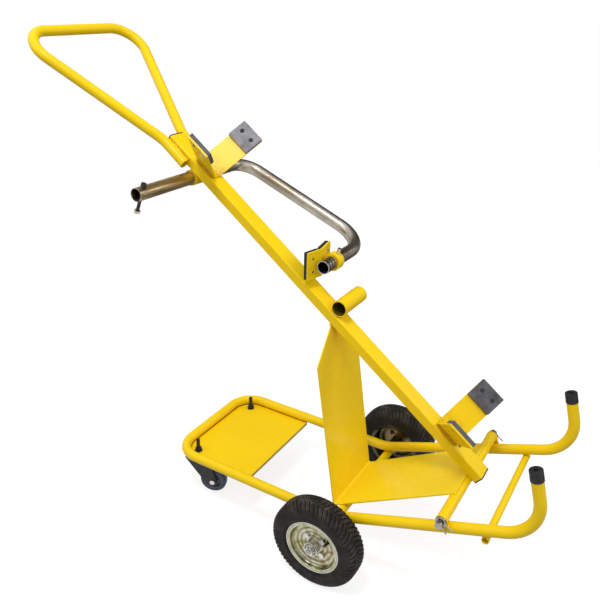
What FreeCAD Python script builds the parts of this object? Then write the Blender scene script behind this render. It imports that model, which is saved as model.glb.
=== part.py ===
"""Cylinder lifting trolley: a tilting cradle on a forked tube chassis with two wheels and two casters.

Millimetres. +X points from the platform to the prongs, +Y away from the clamp arm's open end, +Z up.
The origin lies on the floor, under the centre of the whole trolley's box.
Shapes are worked out about the axle: x is measured from the wheel axle and moved by origin_x at the end.
Pieces of the cradle are placed in the beam's own axes: along the beam, across it, and out of its top face.
"""
import FreeCAD, Part
import Sketcher
import math
import os
import re

Vector = FreeCAD.Vector
Rotation = FreeCAD.Rotation
Placement = FreeCAD.Placement
X_AXIS = Vector(1, 0, 0)
Y_AXIS = Vector(0, 1, 0)
Z_AXIS = Vector(0, 0, 1)

# Driving dimensions, in millimetres and degrees
SIZES = {
    # Clearances between pieces that move on each other, and between pieces that only sit in each other
    "rest_gap": 0.3,
    "pin_gap": 0.05,
    "seat_gap": 0.1,
    # Bent tubes of the chassis
    "tube_radius": 12.5,
    "tube_wall": 2.0,
    "rail_side": 157.0,
    "platform_reach": 474.0,
    "end_arm": 75.0,
    "corner_radius": 65.0,
    "rise_start": 4.0,
    "rise_angle": 20.85,
    "rise_length": 496.0,
    "rise_bend": 110.0,
    "prong_lean": 15.5,
    "prong_length": 143.0,
    "prong_bend": 85.0,
    "cap_length": 24.0,
    "cap_wall": 1.0,
    "cap_top": 4.0,
    "brace_radius": 8.0,
    "brace_wall": 1.5,
    "brace_station": 375.0,
    "brace_half": 164.0,
    # Platform plate between the left ends of the rails
    "deck_thickness": 3.0,
    "deck_drop": 10.0,
    "deck_edge": 250.0,
    "deck_lip": 9.0,
    "deck_lip_bend": 2.0,
    # Axle and running wheels
    "axle_tube_radius": 11.0,
    "axle_radius": 6.5,
    "wheel_side": 220.0,
    "tyre_radius": 110.0,
    "tyre_width": 60.0,
    "tyre_wall": 7.0,
    "tyre_corner": 16.0,
    "tyre_inner_corner": 14.0,
    "bead_width": 8.0,
    "bead_radius": 60.0,
    "rim_flange_radius": 67.0,
    "rim_flange_lip": 2.5,
    "rim_half_width": 27.0,
    "rim_thickness": 2.0,
    "web_out": 12.0,
    "rim_well_bend": 10.0,
    "rim_flange_bend": 1.5,
    "hub_radius": 17.0,
    "hub_length": 66.0,
    "hub_flange_radius": 38.0,
    "hub_flange_thickness": 3.0,
    "rim_bolt_circle": 28.0,
    "rim_bolt_radius": 4.0,
    "rim_bolt_flats": 13.0,
    "rim_bolt_head": 5.3,
    "rim_bolt_tail": 5.0,
    "axle_nut_flats": 19.0,
    "axle_nut_height": 8.0,
    "axle_end": 2.0,
    # Swivel casters under the platform
    "caster_reach": 428.0,
    "caster_side": 121.0,
    "caster_yaw": 20.6,
    "caster_trail": 40.0,
    "caster_wheel_radius": 36.0,
    "caster_wheel_width": 18.0,
    "caster_tread": 9.0,
    "caster_hub_bore": 5.0,
    "caster_head_radius": 26.0,
    "caster_head_height": 8.0,
    "fork_wall": 3.0,
    "fork_gap": 3.0,
    "fork_top_reach": 33.0,
    "fork_back_reach": 30.0,
    "fork_knee_reach": 33.0,
    "fork_knee_height": 50.0,
    "fork_toe_reach": 15.0,
    "fork_end_radius": 13.0,
    "fork_corner": 8.0,
    "caster_web": 5.0,
    "caster_rim": 5.0,
    "caster_boss": 10.0,
    "caster_running_gap": 0.5,
    "caster_race_radius": 17.5,
    "stem_radius": 5.0,
    "stem_above": 36.0,
    "stem_flats": 15.0,
    "stem_nut_height": 10.0,
    "stem_flange_radius": 10.0,
    "stem_flange": 2.5,
    "kingpin_radius": 9.5,
    "kingpin_head": 3.0,
    "caster_tread_corner": 4.0,
    "caster_bolt_head": 4.0,
    "caster_bolt_flats": 13.0,
    "caster_bolt_end": 2.0,
    # Pivot of the cradle on the rails
    "pivot_station": 295.4,
    "pivot_tube_radius": 12.5,
    "pin_radius": 8.0,
    "pin_past_lug": 16.5,
    "lug_thickness": 5.0,
    "lug_radius": 13.0,
    "lug_drop": 26.0,
    "washer_radius": 12.5,
    "washer_thickness": 4.0,
    "clip_wire": 1.5,
    "clip_leg": 27.0,
    "clip_span": 11.0,
    "clip_bow": 14.0,
    "clip_rise": 12.0,
    "clip_bend": 4.0,
    "clip_lean": 33.0,
    # Beam and its lower end
    "cradle_tilt": 37.63,
    "beam_width": 45.0,
    "beam_depth": 25.0,
    "beam_wall": 2.0,
    "beam_edge": 3.0,
    "beam_length": 1064.0,
    "beam_overhang": 14.4,
    "beam_cap": 3.0,
    "beam_plug": 12.0,
    # Bent gusset plate from the beam to the axle tube and on to the pivot tube
    "gusset_thickness": 3.0,
    "gusset_width": 195.0,
    "fold_reach": 20.0,
    "web_lean": 8.93,
    "taper_length": 76.0,
    "taper_rise": 6.0,
    "fold_bend": 4.0,
    # Push handle
    "handle_overlap": 75.0,
    "handle_straight": 79.0,
    "handle_length": 377.0,
    "handle_rise": 1.0,
    "handle_half": 196.5,
    "handle_depth": 17.0,
    "handle_bend": 61.0,
    "handle_foot_bend": 90.0,
    # The two V cradles and their pads
    "cradle_flat": 10.0,
    "cradle_thickness": 4.0,
    "cradle_wing": 136.0,
    "cradle_bend": 6.0,
    "cradle_length": 64.0,
    "wing_angle": 44.5,
    "upper_cradle_inset": 115.0,
    "lower_cradle_station": 118.7,
    "pad_length": 51.0,
    "pad_thickness": 9.0,
    "pad_edge": 1.5,
    "pad_screw_radius": 3.0,
    "pad_screw_head": 5.5,
    "pad_screw_sink": 3.5,
    "pad_screw_out": 4.0,
    "pad_screw_step": 32.0,
    # Clamp arm in its sleeve
    "arm_radius": 16.0,
    "arm_wall": 2.0,
    "arm_inset": 99.3,
    "arm_open_reach": 205.0,
    "arm_side": 196.0,
    "arm_span": 400.7,
    "arm_rise": 15.3,
    "arm_bend": 57.0,
    "arm_pad_bend": 80.0,
    "arm_end_reach": 15.0,
    "sleeve_wall": 3.0,
    "sleeve_near": 20.0,
    "sleeve_far": 24.0,
    "stop_inset": 18.0,
    "stop_radius": 4.0,
    "stop_head_radius": 6.5,
    "stop_head_height": 9.0,
    "stop_tail": 37.0,
    "stop_nut_flats": 13.0,
    "stop_nut_height": 6.5,
    "stop_nut_end": 1.0,
    # Collar and swivelling V bracket on the arm's end
    "collar_wall": 5.0,
    "collar_near": 25.0,
    "collar_length": 22.0,
    "set_screw_radius": 3.0,
    "set_screw_head_radius": 4.5,
    "set_screw_stem": 7.0,
    "set_screw_head": 8.0,
    "bracket_fold_side": 11.0,
    "bracket_near_length": 45.5,
    "bracket_near_angle": 13.0,
    "bracket_far_length": 60.0,
    "bracket_far_angle": 10.5,
    "bracket_height": 66.0,
    "bracket_thickness": 4.0,
    "bracket_rubber_start": 5.0,
    "bracket_screw_back": 17.0,
    # Stub tube on top of the beam
    "stub_radius": 19.5,
    "stub_wall": 3.0,
    "stub_inset": 577.5,
    "stub_near": 19.0,
    "stub_far": 84.0,
}

# Derived places and lengths, each a formula of the sizes above and of earlier lines
LAYOUT = {
    "axle_z": "tyre_radius",
    "rail_z": "axle_z + axle_tube_radius + tube_radius",
    "joint_x": "end_arm - platform_reach",
    "level_run": "platform_reach - end_arm - rise_start",
    "bore_radius": "tube_radius - tube_wall",
    # The deck plate lies between the tubes, its top face deck_drop below their centre line
    "deck_chord": "sqrt(tube_radius ^ 2 - deck_drop ^ 2)",
    "deck_top": "rail_z - deck_drop",
    "deck_half": "rail_side - deck_chord",
    "deck_end": "platform_reach - deck_chord",
    "deck_corner": "corner_radius - deck_chord",
    "deck_under": "deck_top - deck_thickness",
    # Pivot centre, lying on the risen part of the rails
    "pivot_lift": "tube_radius + rest_gap + pivot_tube_radius",
    "pivot_x": "pivot_station * cos(rise_angle) - pivot_lift * sin(rise_angle) - rise_start",
    "pivot_z": "rail_z + pivot_station * sin(rise_angle) + pivot_lift * cos(rise_angle)",
    "lug_face": "rail_side + tube_radius",
    "lug_outer": "lug_face + lug_thickness",
    "pin_half": "lug_outer + pin_past_lug",
    "pivot_tube_half": "lug_face - rest_gap",
    "clip_side": "lug_outer + washer_thickness + clip_wire + seat_gap",
    # Gusset: its floor passes over the axle tube and lies on the pivot tube
    "pivot_height": "pivot_z - axle_z",
    "pivot_far": "sqrt(pivot_x ^ 2 + pivot_height ^ 2)",
    "floor_axle_lift": "axle_tube_radius + rest_gap",
    "floor_angle": "atan(pivot_height / pivot_x) + asin((pivot_tube_radius - floor_axle_lift) / pivot_far)",
    "fold_lift": "floor_axle_lift + gusset_thickness",
    "fold_x": "-(fold_lift * sin(floor_angle) + fold_reach * cos(floor_angle))",
    "fold_z": "axle_z + fold_lift * cos(floor_angle) - fold_reach * sin(floor_angle)",
    "floor_tilt": "floor_angle - web_lean",
    "fold_inside": "90 - floor_tilt",
    "fold_miter": "gusset_thickness / tan(fold_inside / 2)",
    "fold_to_beam": "(pivot_x - fold_x) * sin(cradle_tilt) + (pivot_z - fold_z) * cos(cradle_tilt)"
                    " + pivot_tube_radius",
    "floor_length": "fold_to_beam / sin(cradle_tilt + floor_angle)",
    "floor_miter": "gusset_thickness / tan(cradle_tilt + floor_angle)",
    "web_length": "fold_to_beam / cos(cradle_tilt + web_lean)",
    "web_miter": "gusset_thickness * tan(cradle_tilt + web_lean)",
    # Running wheel, measured outwards from its middle plane
    "axle_tube_half": "wheel_side - hub_length / 2 - rest_gap",
    "nut_inner": "wheel_side + hub_length / 2 + rest_gap",
    "axle_half": "nut_inner + axle_nut_height + axle_end",
    "half_tyre": "tyre_width / 2",
    # Caster, measured up from the floor
    "head_under": "deck_under - caster_head_height",
    "fork_top": "head_under - rest_gap",
    "fork_half": "caster_wheel_width / 2 + fork_gap + fork_wall",
    "fork_inside": "caster_wheel_width / 2 + fork_gap",
    "caster_boss_half": "fork_inside - caster_running_gap",
    # Beam axes: the lower end of the beam's top face, with the beam lying on the pivot tube
    "beam_out": "beam_depth + pivot_tube_radius",
    "beam_x": "pivot_x + beam_overhang * cos(cradle_tilt) + beam_out * sin(cradle_tilt)",
    "beam_z": "pivot_z - beam_overhang * sin(cradle_tilt) + beam_out * cos(cradle_tilt)",
    # Stations along the beam
    "arm_station": "beam_length - arm_inset",
    "upper_cradle_station": "beam_length - upper_cradle_inset",
    "stub_station": "beam_length - stub_inset",
    "handle_foot": "beam_length - handle_overlap",
    "handle_side": "beam_width / 2 + tube_radius",
    "handle_end": "beam_length + handle_length",
    # Arm, sleeve and collar
    "sleeve_radius": "arm_radius + pin_gap + sleeve_wall",
    "arm_depth": "beam_depth + sleeve_radius",
    "collar_radius": "arm_radius + pin_gap + collar_wall",
    "collar_middle": "collar_near + collar_length / 2",
    "bracket_fold_x": "(collar_near - bracket_fold_side) * tan(bracket_far_angle) - collar_radius",
    "bracket_corner": "bracket_thickness / cos((bracket_near_angle + bracket_far_angle) / 2)",
    "bracket_twist": "(bracket_near_angle - bracket_far_angle) / 2",
    "pad_middle": "cradle_wing - pad_length / 2",
    # Half of the whole trolley's length along X, and the shift that centres it
    "handle_top_x": "beam_x - handle_foot * cos(cradle_tilt) - handle_depth * sin(cradle_tilt)"
                    " - (handle_end - handle_foot) * cos(cradle_tilt + handle_rise) - tube_radius",
    "corner_x": "rise_length * cos(rise_angle) - rise_start",
    "corner_z": "rail_z + rise_length * sin(rise_angle)",
    "prong_tangent": "prong_bend * tan((90 + prong_lean - rise_angle) / 2)",
    "prong_turn_x": "corner_x - prong_tangent * cos(rise_angle) - prong_bend * sin(rise_angle)"
                    " + prong_bend + tube_radius",
    "origin_x": "-(handle_top_x + prong_turn_x) / 2",
}

doc = FreeCAD.newDocument("CylinderTrolley")
sheet = doc.addObject("Spreadsheet::Sheet", "Sizes")
for row, (alias, number) in enumerate(SIZES.items(), start=1):
    sheet.set(f"A{row}", alias.replace("_", " "))
    sheet.set(f"B{row}", str(number))
    sheet.setAlias(f"B{row}", alias)
doc.recompute()
layout = doc.addObject("App::VarSet", "Layout")


def bound(formula, in_layout=False):
    """The formula with each plain name turned into a reference to the sheet or to the layout."""
    def refer(match):
        word = match.group(0)
        if word in SIZES:
            return "Sizes." + word
        if word in LAYOUT and not in_layout:
            return "Layout." + word
        return word
    return re.sub(r"[a-z_]+", refer, str(formula))


for name, formula in LAYOUT.items():
    layout.addProperty("App::PropertyFloat", name, "Layout")
    layout.setExpression(name, bound(formula, in_layout=True))
doc.recompute()
S = sheet
L = layout


# Places in the trolley, in the risen rails and in the beam

def in_world(x, y, z, turn=None):
    """A place measured from the axle, with an optional rotation."""
    return Placement(Vector(x + L.origin_x, y, z), turn or Rotation())


def in_rails(along, y, out, turn=None):
    """A place measured along the risen rails from their bend, and square to them."""
    frame = in_world(-S.rise_start, 0, L.rail_z, Rotation(Y_AXIS, -S.rise_angle))
    return frame.multiply(Placement(Vector(along, y, out), turn or Rotation()))


def in_beam(along, y, out, turn=None):
    """A place measured along the beam from its lower end, across it and out of its top face."""
    frame = in_world(L.beam_x, 0, L.beam_z, Rotation(Y_AXIS, S.cradle_tilt))
    return frame.multiply(Placement(Vector(along, y, out), turn or Rotation()))


# Turns that lay a piece's own Z axis along the trolley's Y axis
ALONG_Y = Rotation(X_AXIS, -90)
ALONG_MINUS_Y = Rotation(X_AXIS, 90)
RIM_BOLTS = 4
pieces = []


# Sketches, bound to the sheet point by point

def new_body(name, place=None):
    body = doc.addObject("PartDesign::Body", name)
    body.Label = name
    body.Placement = place or Placement()
    pieces.append(body)
    return body


def origin_feature(body, role):
    for feature in body.Origin.OriginFeatures:
        if feature.Role == role:
            return feature
    raise ValueError(role)


def new_sketch(body, role, name, offset=None):
    sketch = body.newObject("Sketcher::SketchObject", f"{body.Name}_{name}")
    sketch.AttachmentSupport = (origin_feature(body, role), [""])
    sketch.MapMode = "FlatFace"
    if offset is not None:
        sketch.setExpression("AttachmentOffset.Base.z", bound(offset))
    return sketch


def pin_point(sketch, shape, end, point):
    """Hold one point of a sketch at the place that two formulas give."""
    for kind, formula in zip(("DistanceX", "DistanceY"), point):
        index = sketch.addConstraint(Sketcher.Constraint(kind, -1, 1, shape, end, 1.0))
        sketch.setExpression(f"Constraints[{index}]", bound(formula))


def add_outline(sketch, points, construction=False, closed=True):
    """A polygon or an open polyline through points that are pairs of formulas."""
    count = len(points)
    start = [Vector(math.cos(2 * math.pi * i / count), math.sin(2 * math.pi * i / count), 0)
             for i in range(count)]
    sides = count if closed else count - 1
    lines = [sketch.addGeometry(Part.LineSegment(start[i], start[(i + 1) % count]), construction)
             for i in range(sides)]
    for first, second in zip(lines, lines[1:]):
        sketch.addConstraint(Sketcher.Constraint("Coincident", first, 2, second, 1))
    if closed:
        sketch.addConstraint(Sketcher.Constraint("Coincident", lines[-1], 2, lines[0], 1))
    else:
        pin_point(sketch, lines[-1], 2, points[-1])
    for line, point in zip(lines, points):
        pin_point(sketch, line, 1, point)
    return lines


def add_circle(sketch, centre, radius):
    circle = sketch.addGeometry(Part.Circle(Vector(), Z_AXIS, 1.0), False)
    pin_point(sketch, circle, 3, centre)
    index = sketch.addConstraint(Sketcher.Constraint("Radius", circle, 1.0))
    sketch.setExpression(f"Constraints[{index}]", bound(radius))


def add_rounded_path(sketch, corners, bends):
    """An open path through the corners, each one rounded by an arc whose radius a size names."""
    guides = add_outline(sketch, corners, construction=True, closed=False)
    sketch.recompute()
    ends = [sketch.Geometry[guides[0]].StartPoint]
    ends += [sketch.Geometry[guide].EndPoint for guide in guides]
    arcs = []
    for before, corner, after, bend in zip(ends, ends[1:], ends[2:], bends):
        radius = getattr(S, bend)
        back = (before - corner).normalize()
        onward = (after - corner).normalize()
        half = back.getAngle(onward) / 2
        centre = corner + (back + onward).normalize() * (radius / math.sin(half))
        reach = radius / math.tan(half)
        arcs.append((corner + back * reach, corner + onward * reach, centre, back.cross(onward).z < 0))
    starts = [ends[0]] + [arc[1] for arc in arcs]
    stops = [arc[0] for arc in arcs] + [ends[-1]]
    lines = [sketch.addGeometry(Part.LineSegment(a, b), False) for a, b in zip(starts, stops)]
    for i, (line, guide) in enumerate(zip(lines, guides)):
        if i > 0:
            sketch.addConstraint(Sketcher.Constraint("PointOnObject", line, 1, guide))
        if i < len(lines) - 1:
            sketch.addConstraint(Sketcher.Constraint("PointOnObject", line, 2, guide))
    sketch.addConstraint(Sketcher.Constraint("Coincident", lines[0], 1, guides[0], 1))
    sketch.addConstraint(Sketcher.Constraint("Coincident", lines[-1], 2, guides[-1], 2))
    for i, ((into, out, centre, left_turn), bend) in enumerate(zip(arcs, bends)):
        first, last = (into, out) if left_turn else (out, into)
        angles = [math.atan2(point.y - centre.y, point.x - centre.x) for point in (first, last)]
        circle = Part.Circle(centre, Z_AXIS, getattr(S, bend))
        curve = sketch.addGeometry(Part.ArcOfCircle(circle, *angles), False)
        enters, leaves = (1, 2) if left_turn else (2, 1)
        sketch.addConstraint(Sketcher.Constraint("Tangent", lines[i], 2, curve, enters))
        sketch.addConstraint(Sketcher.Constraint("Tangent", lines[i + 1], 1, curve, leaves))
        index = sketch.addConstraint(Sketcher.Constraint("Radius", curve, getattr(S, bend)))
        sketch.setExpression(f"Constraints[{index}]", bound(bend))


# Features

def add_pad(body, sketch, length, symmetric=True, reversed_way=False):
    pad = body.newObject("PartDesign::Pad", sketch.Name + "_pad")
    pad.Profile = sketch
    pad.setExpression("Length", bound(length))
    if symmetric:
        pad.SideType = "Symmetric"
    pad.Reversed = reversed_way
    doc.recompute()
    return pad


def add_cut(body, sketch):
    """Cut the sketch right through the body, both ways from its plane."""
    volume = body.Shape.Volume
    cut = body.newObject("PartDesign::Pocket", sketch.Name + "_cut")
    cut.Profile = sketch
    cut.Type = "ThroughAll"
    cut.SideType = "Symmetric"
    doc.recompute()
    if body.Shape.Volume >= volume:
        raise ValueError(f"{cut.Name} removes nothing")
    return cut


def add_turn(body, sketch):
    turn = body.newObject("PartDesign::Revolution", sketch.Name + "_turn")
    turn.Profile = sketch
    turn.ReferenceAxis = (origin_feature(body, "Z_Axis"), [""])
    turn.Angle = 360
    doc.recompute()
    return turn


def add_fillet(body, radius, chosen):
    """Round the edges of the body's last feature that the test picks, in the body's own axes."""
    base = body.Tip
    names = [f"Edge{i}" for i, edge in enumerate(base.Shape.Edges, start=1) if chosen(edge)]
    if not names:
        raise ValueError(f"no edge to round on {body.Name}")
    fillet = body.newObject("PartDesign::Fillet", f"{base.Name}_round")
    fillet.Base = (base, names)
    fillet.setExpression("Radius", bound(radius))
    doc.recompute()
    return fillet


def edge_runs(edge, axis):
    """Whether a straight edge runs along an axis."""
    if edge.Curve.TypeId != "Part::GeomLine":
        return False
    return abs(edge.Curve.Direction.dot(axis)) > 0.999


def turned(name, place, points):
    """A piece turned about its own Z axis, from a profile of (radius, height) formulas."""
    body = new_body(name, place)
    sketch = new_sketch(body, "XZ_Plane", "profile")
    add_outline(sketch, points)
    add_turn(body, sketch)
    return body


def ring(name, place, outer, inner, low, high):
    """A plain ring or tube about its own Z axis."""
    return turned(name, place, [(inner, low), (outer, low), (outer, high), (inner, high)])


def bent_tube(name, place, role, corners, bends, outer, bore=None):
    """A tube or wire swept along a flat path that sets out along the piece's own X axis."""
    body = new_body(name, place)
    path = new_sketch(body, role, "path")
    add_rounded_path(path, corners, bends)
    profile = new_sketch(body, "YZ_Plane", "section")
    add_circle(profile, ("0", "0"), outer)
    if bore:
        add_circle(profile, ("0", "0"), bore)
    doc.recompute()
    pipe = body.newObject("PartDesign::AdditivePipe", f"{name}_sweep")
    pipe.Profile = profile
    pipe.Spine = (path, [f"Edge{i + 1}" for i in range(len(path.Shape.Edges))])
    doc.recompute()
    return body


def solids_group(name, place, make, count):
    """Several equal solids in one node; make(i) gives each solid in the group's own axes."""
    feature = doc.addObject("Part::Feature", name)
    feature.Shape = Part.makeCompound([make(i) for i in range(count)])
    feature.Label = name
    feature.Placement = place
    pieces.append(feature)
    return feature


def hexagon(flats, height, base_z=0.0):
    """A hexagonal prism about Z with the given width across its flats."""
    corner = flats / math.sqrt(3)
    points = [Vector(corner * math.cos(math.radians(60 * i)), corner * math.sin(math.radians(60 * i)), base_z)
              for i in range(6)]
    face = Part.Face(Part.makePolygon(points + points[:1]))
    return face.extrude(Vector(0, 0, height))


def hex_bolt(radius, flats, head, grip, nut_height, tail):
    """A bolt along Z, its head above z = 0, with its nut at z = -grip and a tail below the nut."""
    shank = Part.makeCylinder(radius, grip + nut_height + tail, Vector(), -Z_AXIS)
    nut = hexagon(flats, nut_height, -grip - nut_height)
    return hexagon(flats, head).fuse([shank, nut]).removeSplitter()


# Chassis tubes

def make_rails():
    for name, side in (("near_rail", -1), ("far_rail", 1)):
        corners = [
            ("0", "0"),
            ("level_run", "0"),
            ("level_run + rise_length * cos(rise_angle)", "rise_length * sin(rise_angle)"),
            ("level_run + rise_length * cos(rise_angle) - prong_length * sin(prong_lean)",
             "rise_length * sin(rise_angle) + prong_length * cos(prong_lean)"),
        ]
        place = in_world(L.joint_x, side * S.rail_side, L.rail_z)
        bends = ["rise_bend", "prong_bend"]
        bent_tube(name, place, "XZ_Plane", corners, bends, "tube_radius", "bore_radius")


def make_platform_tube():
    corners = [("0", "0"), ("end_arm", "0"), ("end_arm", "2 * rail_side"), ("0", "2 * rail_side")]
    place = in_world(L.joint_x, S.rail_side, L.rail_z, Rotation(Z_AXIS, 180))
    bends = ["corner_radius", "corner_radius"]
    bent_tube("platform_tube", place, "XY_Plane", corners, bends, "tube_radius", "bore_radius")


def make_prong_caps():
    for name, side in (("near_prong_cap", -1), ("far_prong_cap", 1)):
        corner = in_world(L.corner_x, side * S.rail_side, L.corner_z, Rotation(Y_AXIS, -S.prong_lean))
        turned(name, corner.multiply(Placement(Vector(0, 0, S.prong_length), Rotation())), [
            ("0", "0"),
            ("tube_radius + seat_gap", "0"),
            ("tube_radius + seat_gap", "cap_top - cap_length"),
            ("tube_radius + seat_gap + cap_wall", "cap_top - cap_length"),
            ("tube_radius + seat_gap + cap_wall", "cap_top"),
            ("0", "cap_top"),
        ])
        add_fillet(pieces[-1], "cap_wall", is_cap_crown)


def is_cap_crown(edge):
    """Whether an edge is the outer circle on top of a prong cap."""
    if edge.Curve.TypeId != "Part::GeomCircle":
        return False
    return edge.Curve.Radius > S.tube_radius + S.cap_wall and abs(edge.BoundBox.ZMax - S.cap_top) < 0.01


def make_brace():
    place = in_rails(S.brace_station, 0, -S.tube_radius - S.brace_radius, ALONG_Y)
    ring("brace_tube", place, "brace_radius", "brace_radius - brace_wall", "-brace_half", "brace_half")


def make_axle_tube():
    place = in_world(0, 0, L.axle_z, ALONG_Y)
    bore = "axle_radius + seat_gap"
    ring("axle_tube", place, "axle_tube_radius", bore, "-axle_tube_half", "axle_tube_half")


def make_deck():
    body = new_body("platform_deck", in_world(0, 0, L.deck_top))
    sketch = new_sketch(body, "XY_Plane", "outline")
    add_outline(sketch, [
        ("-deck_end", "-deck_half"),
        ("-deck_edge", "-deck_half"),
        ("-deck_edge", "deck_half"),
        ("-deck_end", "deck_half"),
    ])
    for side in (-1, 1):
        add_circle(sketch, ("-caster_reach", f"{side} * caster_side"), "stem_radius + seat_gap")
    add_pad(body, sketch, "deck_thickness", symmetric=False, reversed_way=True)
    add_fillet(body, "deck_corner",
               lambda edge: edge_runs(edge, Z_AXIS) and edge.BoundBox.XMax < -S.deck_edge - 1)
    lip = new_sketch(body, "XZ_Plane", "lip")
    add_outline(lip, [
        ("-deck_edge - deck_thickness", "-deck_thickness"),
        ("-deck_edge", "-deck_thickness"),
        ("-deck_edge", "-deck_lip"),
        ("-deck_edge - deck_thickness", "-deck_lip"),
    ])
    add_pad(body, lip, "2 * deck_half")
    add_fillet(body, "deck_lip_bend", lambda edge: edge_runs(edge, Y_AXIS) and edge.BoundBox.ZMax > -0.01
               and edge.BoundBox.XMax > -S.deck_edge - 0.01)


# Axle ends

def make_axle():
    place = in_world(0, 0, L.axle_z, ALONG_Y)
    turned("axle_rod", place, [
        ("0", "-axle_half"),
        ("axle_radius", "-axle_half"),
        ("axle_radius", "axle_half"),
        ("0", "axle_half"),
    ])

    def nut(i):
        low = L.nut_inner if i else -L.nut_inner - S.axle_nut_height
        bore = Part.makeCylinder(S.axle_radius, S.axle_nut_height, Vector(0, 0, low))
        return hexagon(S.axle_nut_flats, S.axle_nut_height, low).cut(bore)

    solids_group("axle_nuts", place, nut, 2)


# Running wheels; their own Z axis points outwards

def make_wheel(prefix, side):
    place = in_world(0, side * S.wheel_side, L.axle_z, ALONG_Y if side > 0 else ALONG_MINUS_Y)
    make_tyre(f"{prefix}_tyre", place)
    make_rim_half(f"{prefix}_rim_outer", place, 1)
    make_rim_half(f"{prefix}_rim_inner", place, -1)
    hub = turned(f"{prefix}_hub", place, [
        ("axle_radius + pin_gap", "-hub_length / 2"),
        ("hub_radius", "-hub_length / 2"),
        ("hub_radius", "web_out - rim_thickness - hub_flange_thickness"),
        ("hub_flange_radius", "web_out - rim_thickness - hub_flange_thickness"),
        ("hub_flange_radius", "web_out - rim_thickness"),
        ("hub_radius", "web_out - rim_thickness"),
        ("hub_radius", "hub_length / 2"),
        ("axle_radius + pin_gap", "hub_length / 2"),
    ])
    cut_bolt_circle(hub)
    make_rim_bolts(f"{prefix}_rim_bolts", place)


def make_tyre(name, place):
    bead = "bead_radius + seat_gap"
    bead_face = "rim_half_width - rim_thickness - seat_gap"
    shoulder = "rim_flange_radius + rim_flange_lip"
    tyre = turned(name, place, [
        (bead, f"-({bead_face})"),
        (shoulder, f"-({bead_face})"),
        (shoulder, "-half_tyre"),
        ("tyre_radius", "-half_tyre"),
        ("tyre_radius", "half_tyre"),
        (shoulder, "half_tyre"),
        (shoulder, bead_face),
        (bead, bead_face),
        (bead, f"{bead_face} - bead_width"),
        (shoulder, "half_tyre - tyre_wall"),
        ("tyre_radius - tyre_wall", "half_tyre - tyre_wall"),
        ("tyre_radius - tyre_wall", "tyre_wall - half_tyre"),
        (shoulder, "tyre_wall - half_tyre"),
        (bead, f"bead_width - ({bead_face})"),
    ])
    add_fillet(tyre, "tyre_corner", lambda edge: is_circle(edge, S.tyre_radius))
    add_fillet(tyre, "tyre_inner_corner", lambda edge: is_circle(edge, S.tyre_radius - S.tyre_wall))


def make_rim_half(name, place, way):
    """One pressed half: its web, the bead seat and the turned-out flange."""
    rim = turned(name, place, [
        ("hub_radius + seat_gap", "web_out"),
        ("bead_radius", "web_out"),
        ("bead_radius", f"{way} * (rim_half_width - rim_thickness)"),
        ("rim_flange_radius", f"{way} * (rim_half_width - rim_thickness)"),
        ("rim_flange_radius", f"{way} * rim_half_width"),
        ("bead_radius - rim_thickness", f"{way} * rim_half_width"),
        ("bead_radius - rim_thickness", f"web_out + {way} * rim_thickness"),
        ("hub_radius + seat_gap", f"web_out + {way} * rim_thickness"),
    ])
    well = S.bead_radius - S.rim_thickness
    add_fillet(rim, "rim_well_bend", lambda edge: is_circle(edge, well, S.web_out + way * S.rim_thickness))
    add_fillet(rim, "rim_well_bend + rim_thickness", lambda edge: is_circle(edge, S.bead_radius, S.web_out))
    add_fillet(rim, "rim_flange_bend", lambda edge: is_circle(edge, well, way * S.rim_half_width))
    cut_bolt_circle(rim)


def is_circle(edge, radius, height=None):
    """Whether an edge is a circle about Z with this radius, and at this height where one is given."""
    if edge.Curve.TypeId != "Part::GeomCircle" or abs(edge.Curve.Radius - radius) > 0.01:
        return False
    return height is None or abs(edge.Curve.Center.z - height) < 0.01


def cut_bolt_circle(body):
    sketch = new_sketch(body, "XY_Plane", "bolts")
    for i in range(RIM_BOLTS):
        turn = 360 * (i + 0.5) / RIM_BOLTS
        add_circle(sketch, (f"rim_bolt_circle * cos({turn})", f"rim_bolt_circle * sin({turn})"),
                   "rim_bolt_radius + seat_gap")
    add_cut(body, sketch)


def make_rim_bolts(name, place):
    def bolt(i):
        turn = math.radians(360 * (i + 0.5) / RIM_BOLTS)
        grip = 2 * S.rim_thickness + S.hub_flange_thickness
        solid = hex_bolt(S.rim_bolt_radius, S.rim_bolt_flats, S.rim_bolt_head, grip, S.rim_bolt_head,
                         S.rim_bolt_tail)
        solid.translate(Vector(S.rim_bolt_circle * math.cos(turn), S.rim_bolt_circle * math.sin(turn),
                               S.web_out + S.rim_thickness))
        return solid

    solids_group(name, place, bolt, RIM_BOLTS)


# Casters; in their own axes the swivel axis is Z, the floor is z = 0 and the wheel trails along X

def caster_place(side, x=0, y=0, z=0, turn=None):
    frame = in_world(-S.caster_reach, side * S.caster_side, 0, Rotation(Z_AXIS, S.caster_yaw))
    return frame.multiply(Placement(Vector(x, y, z), turn or Rotation()))


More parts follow.
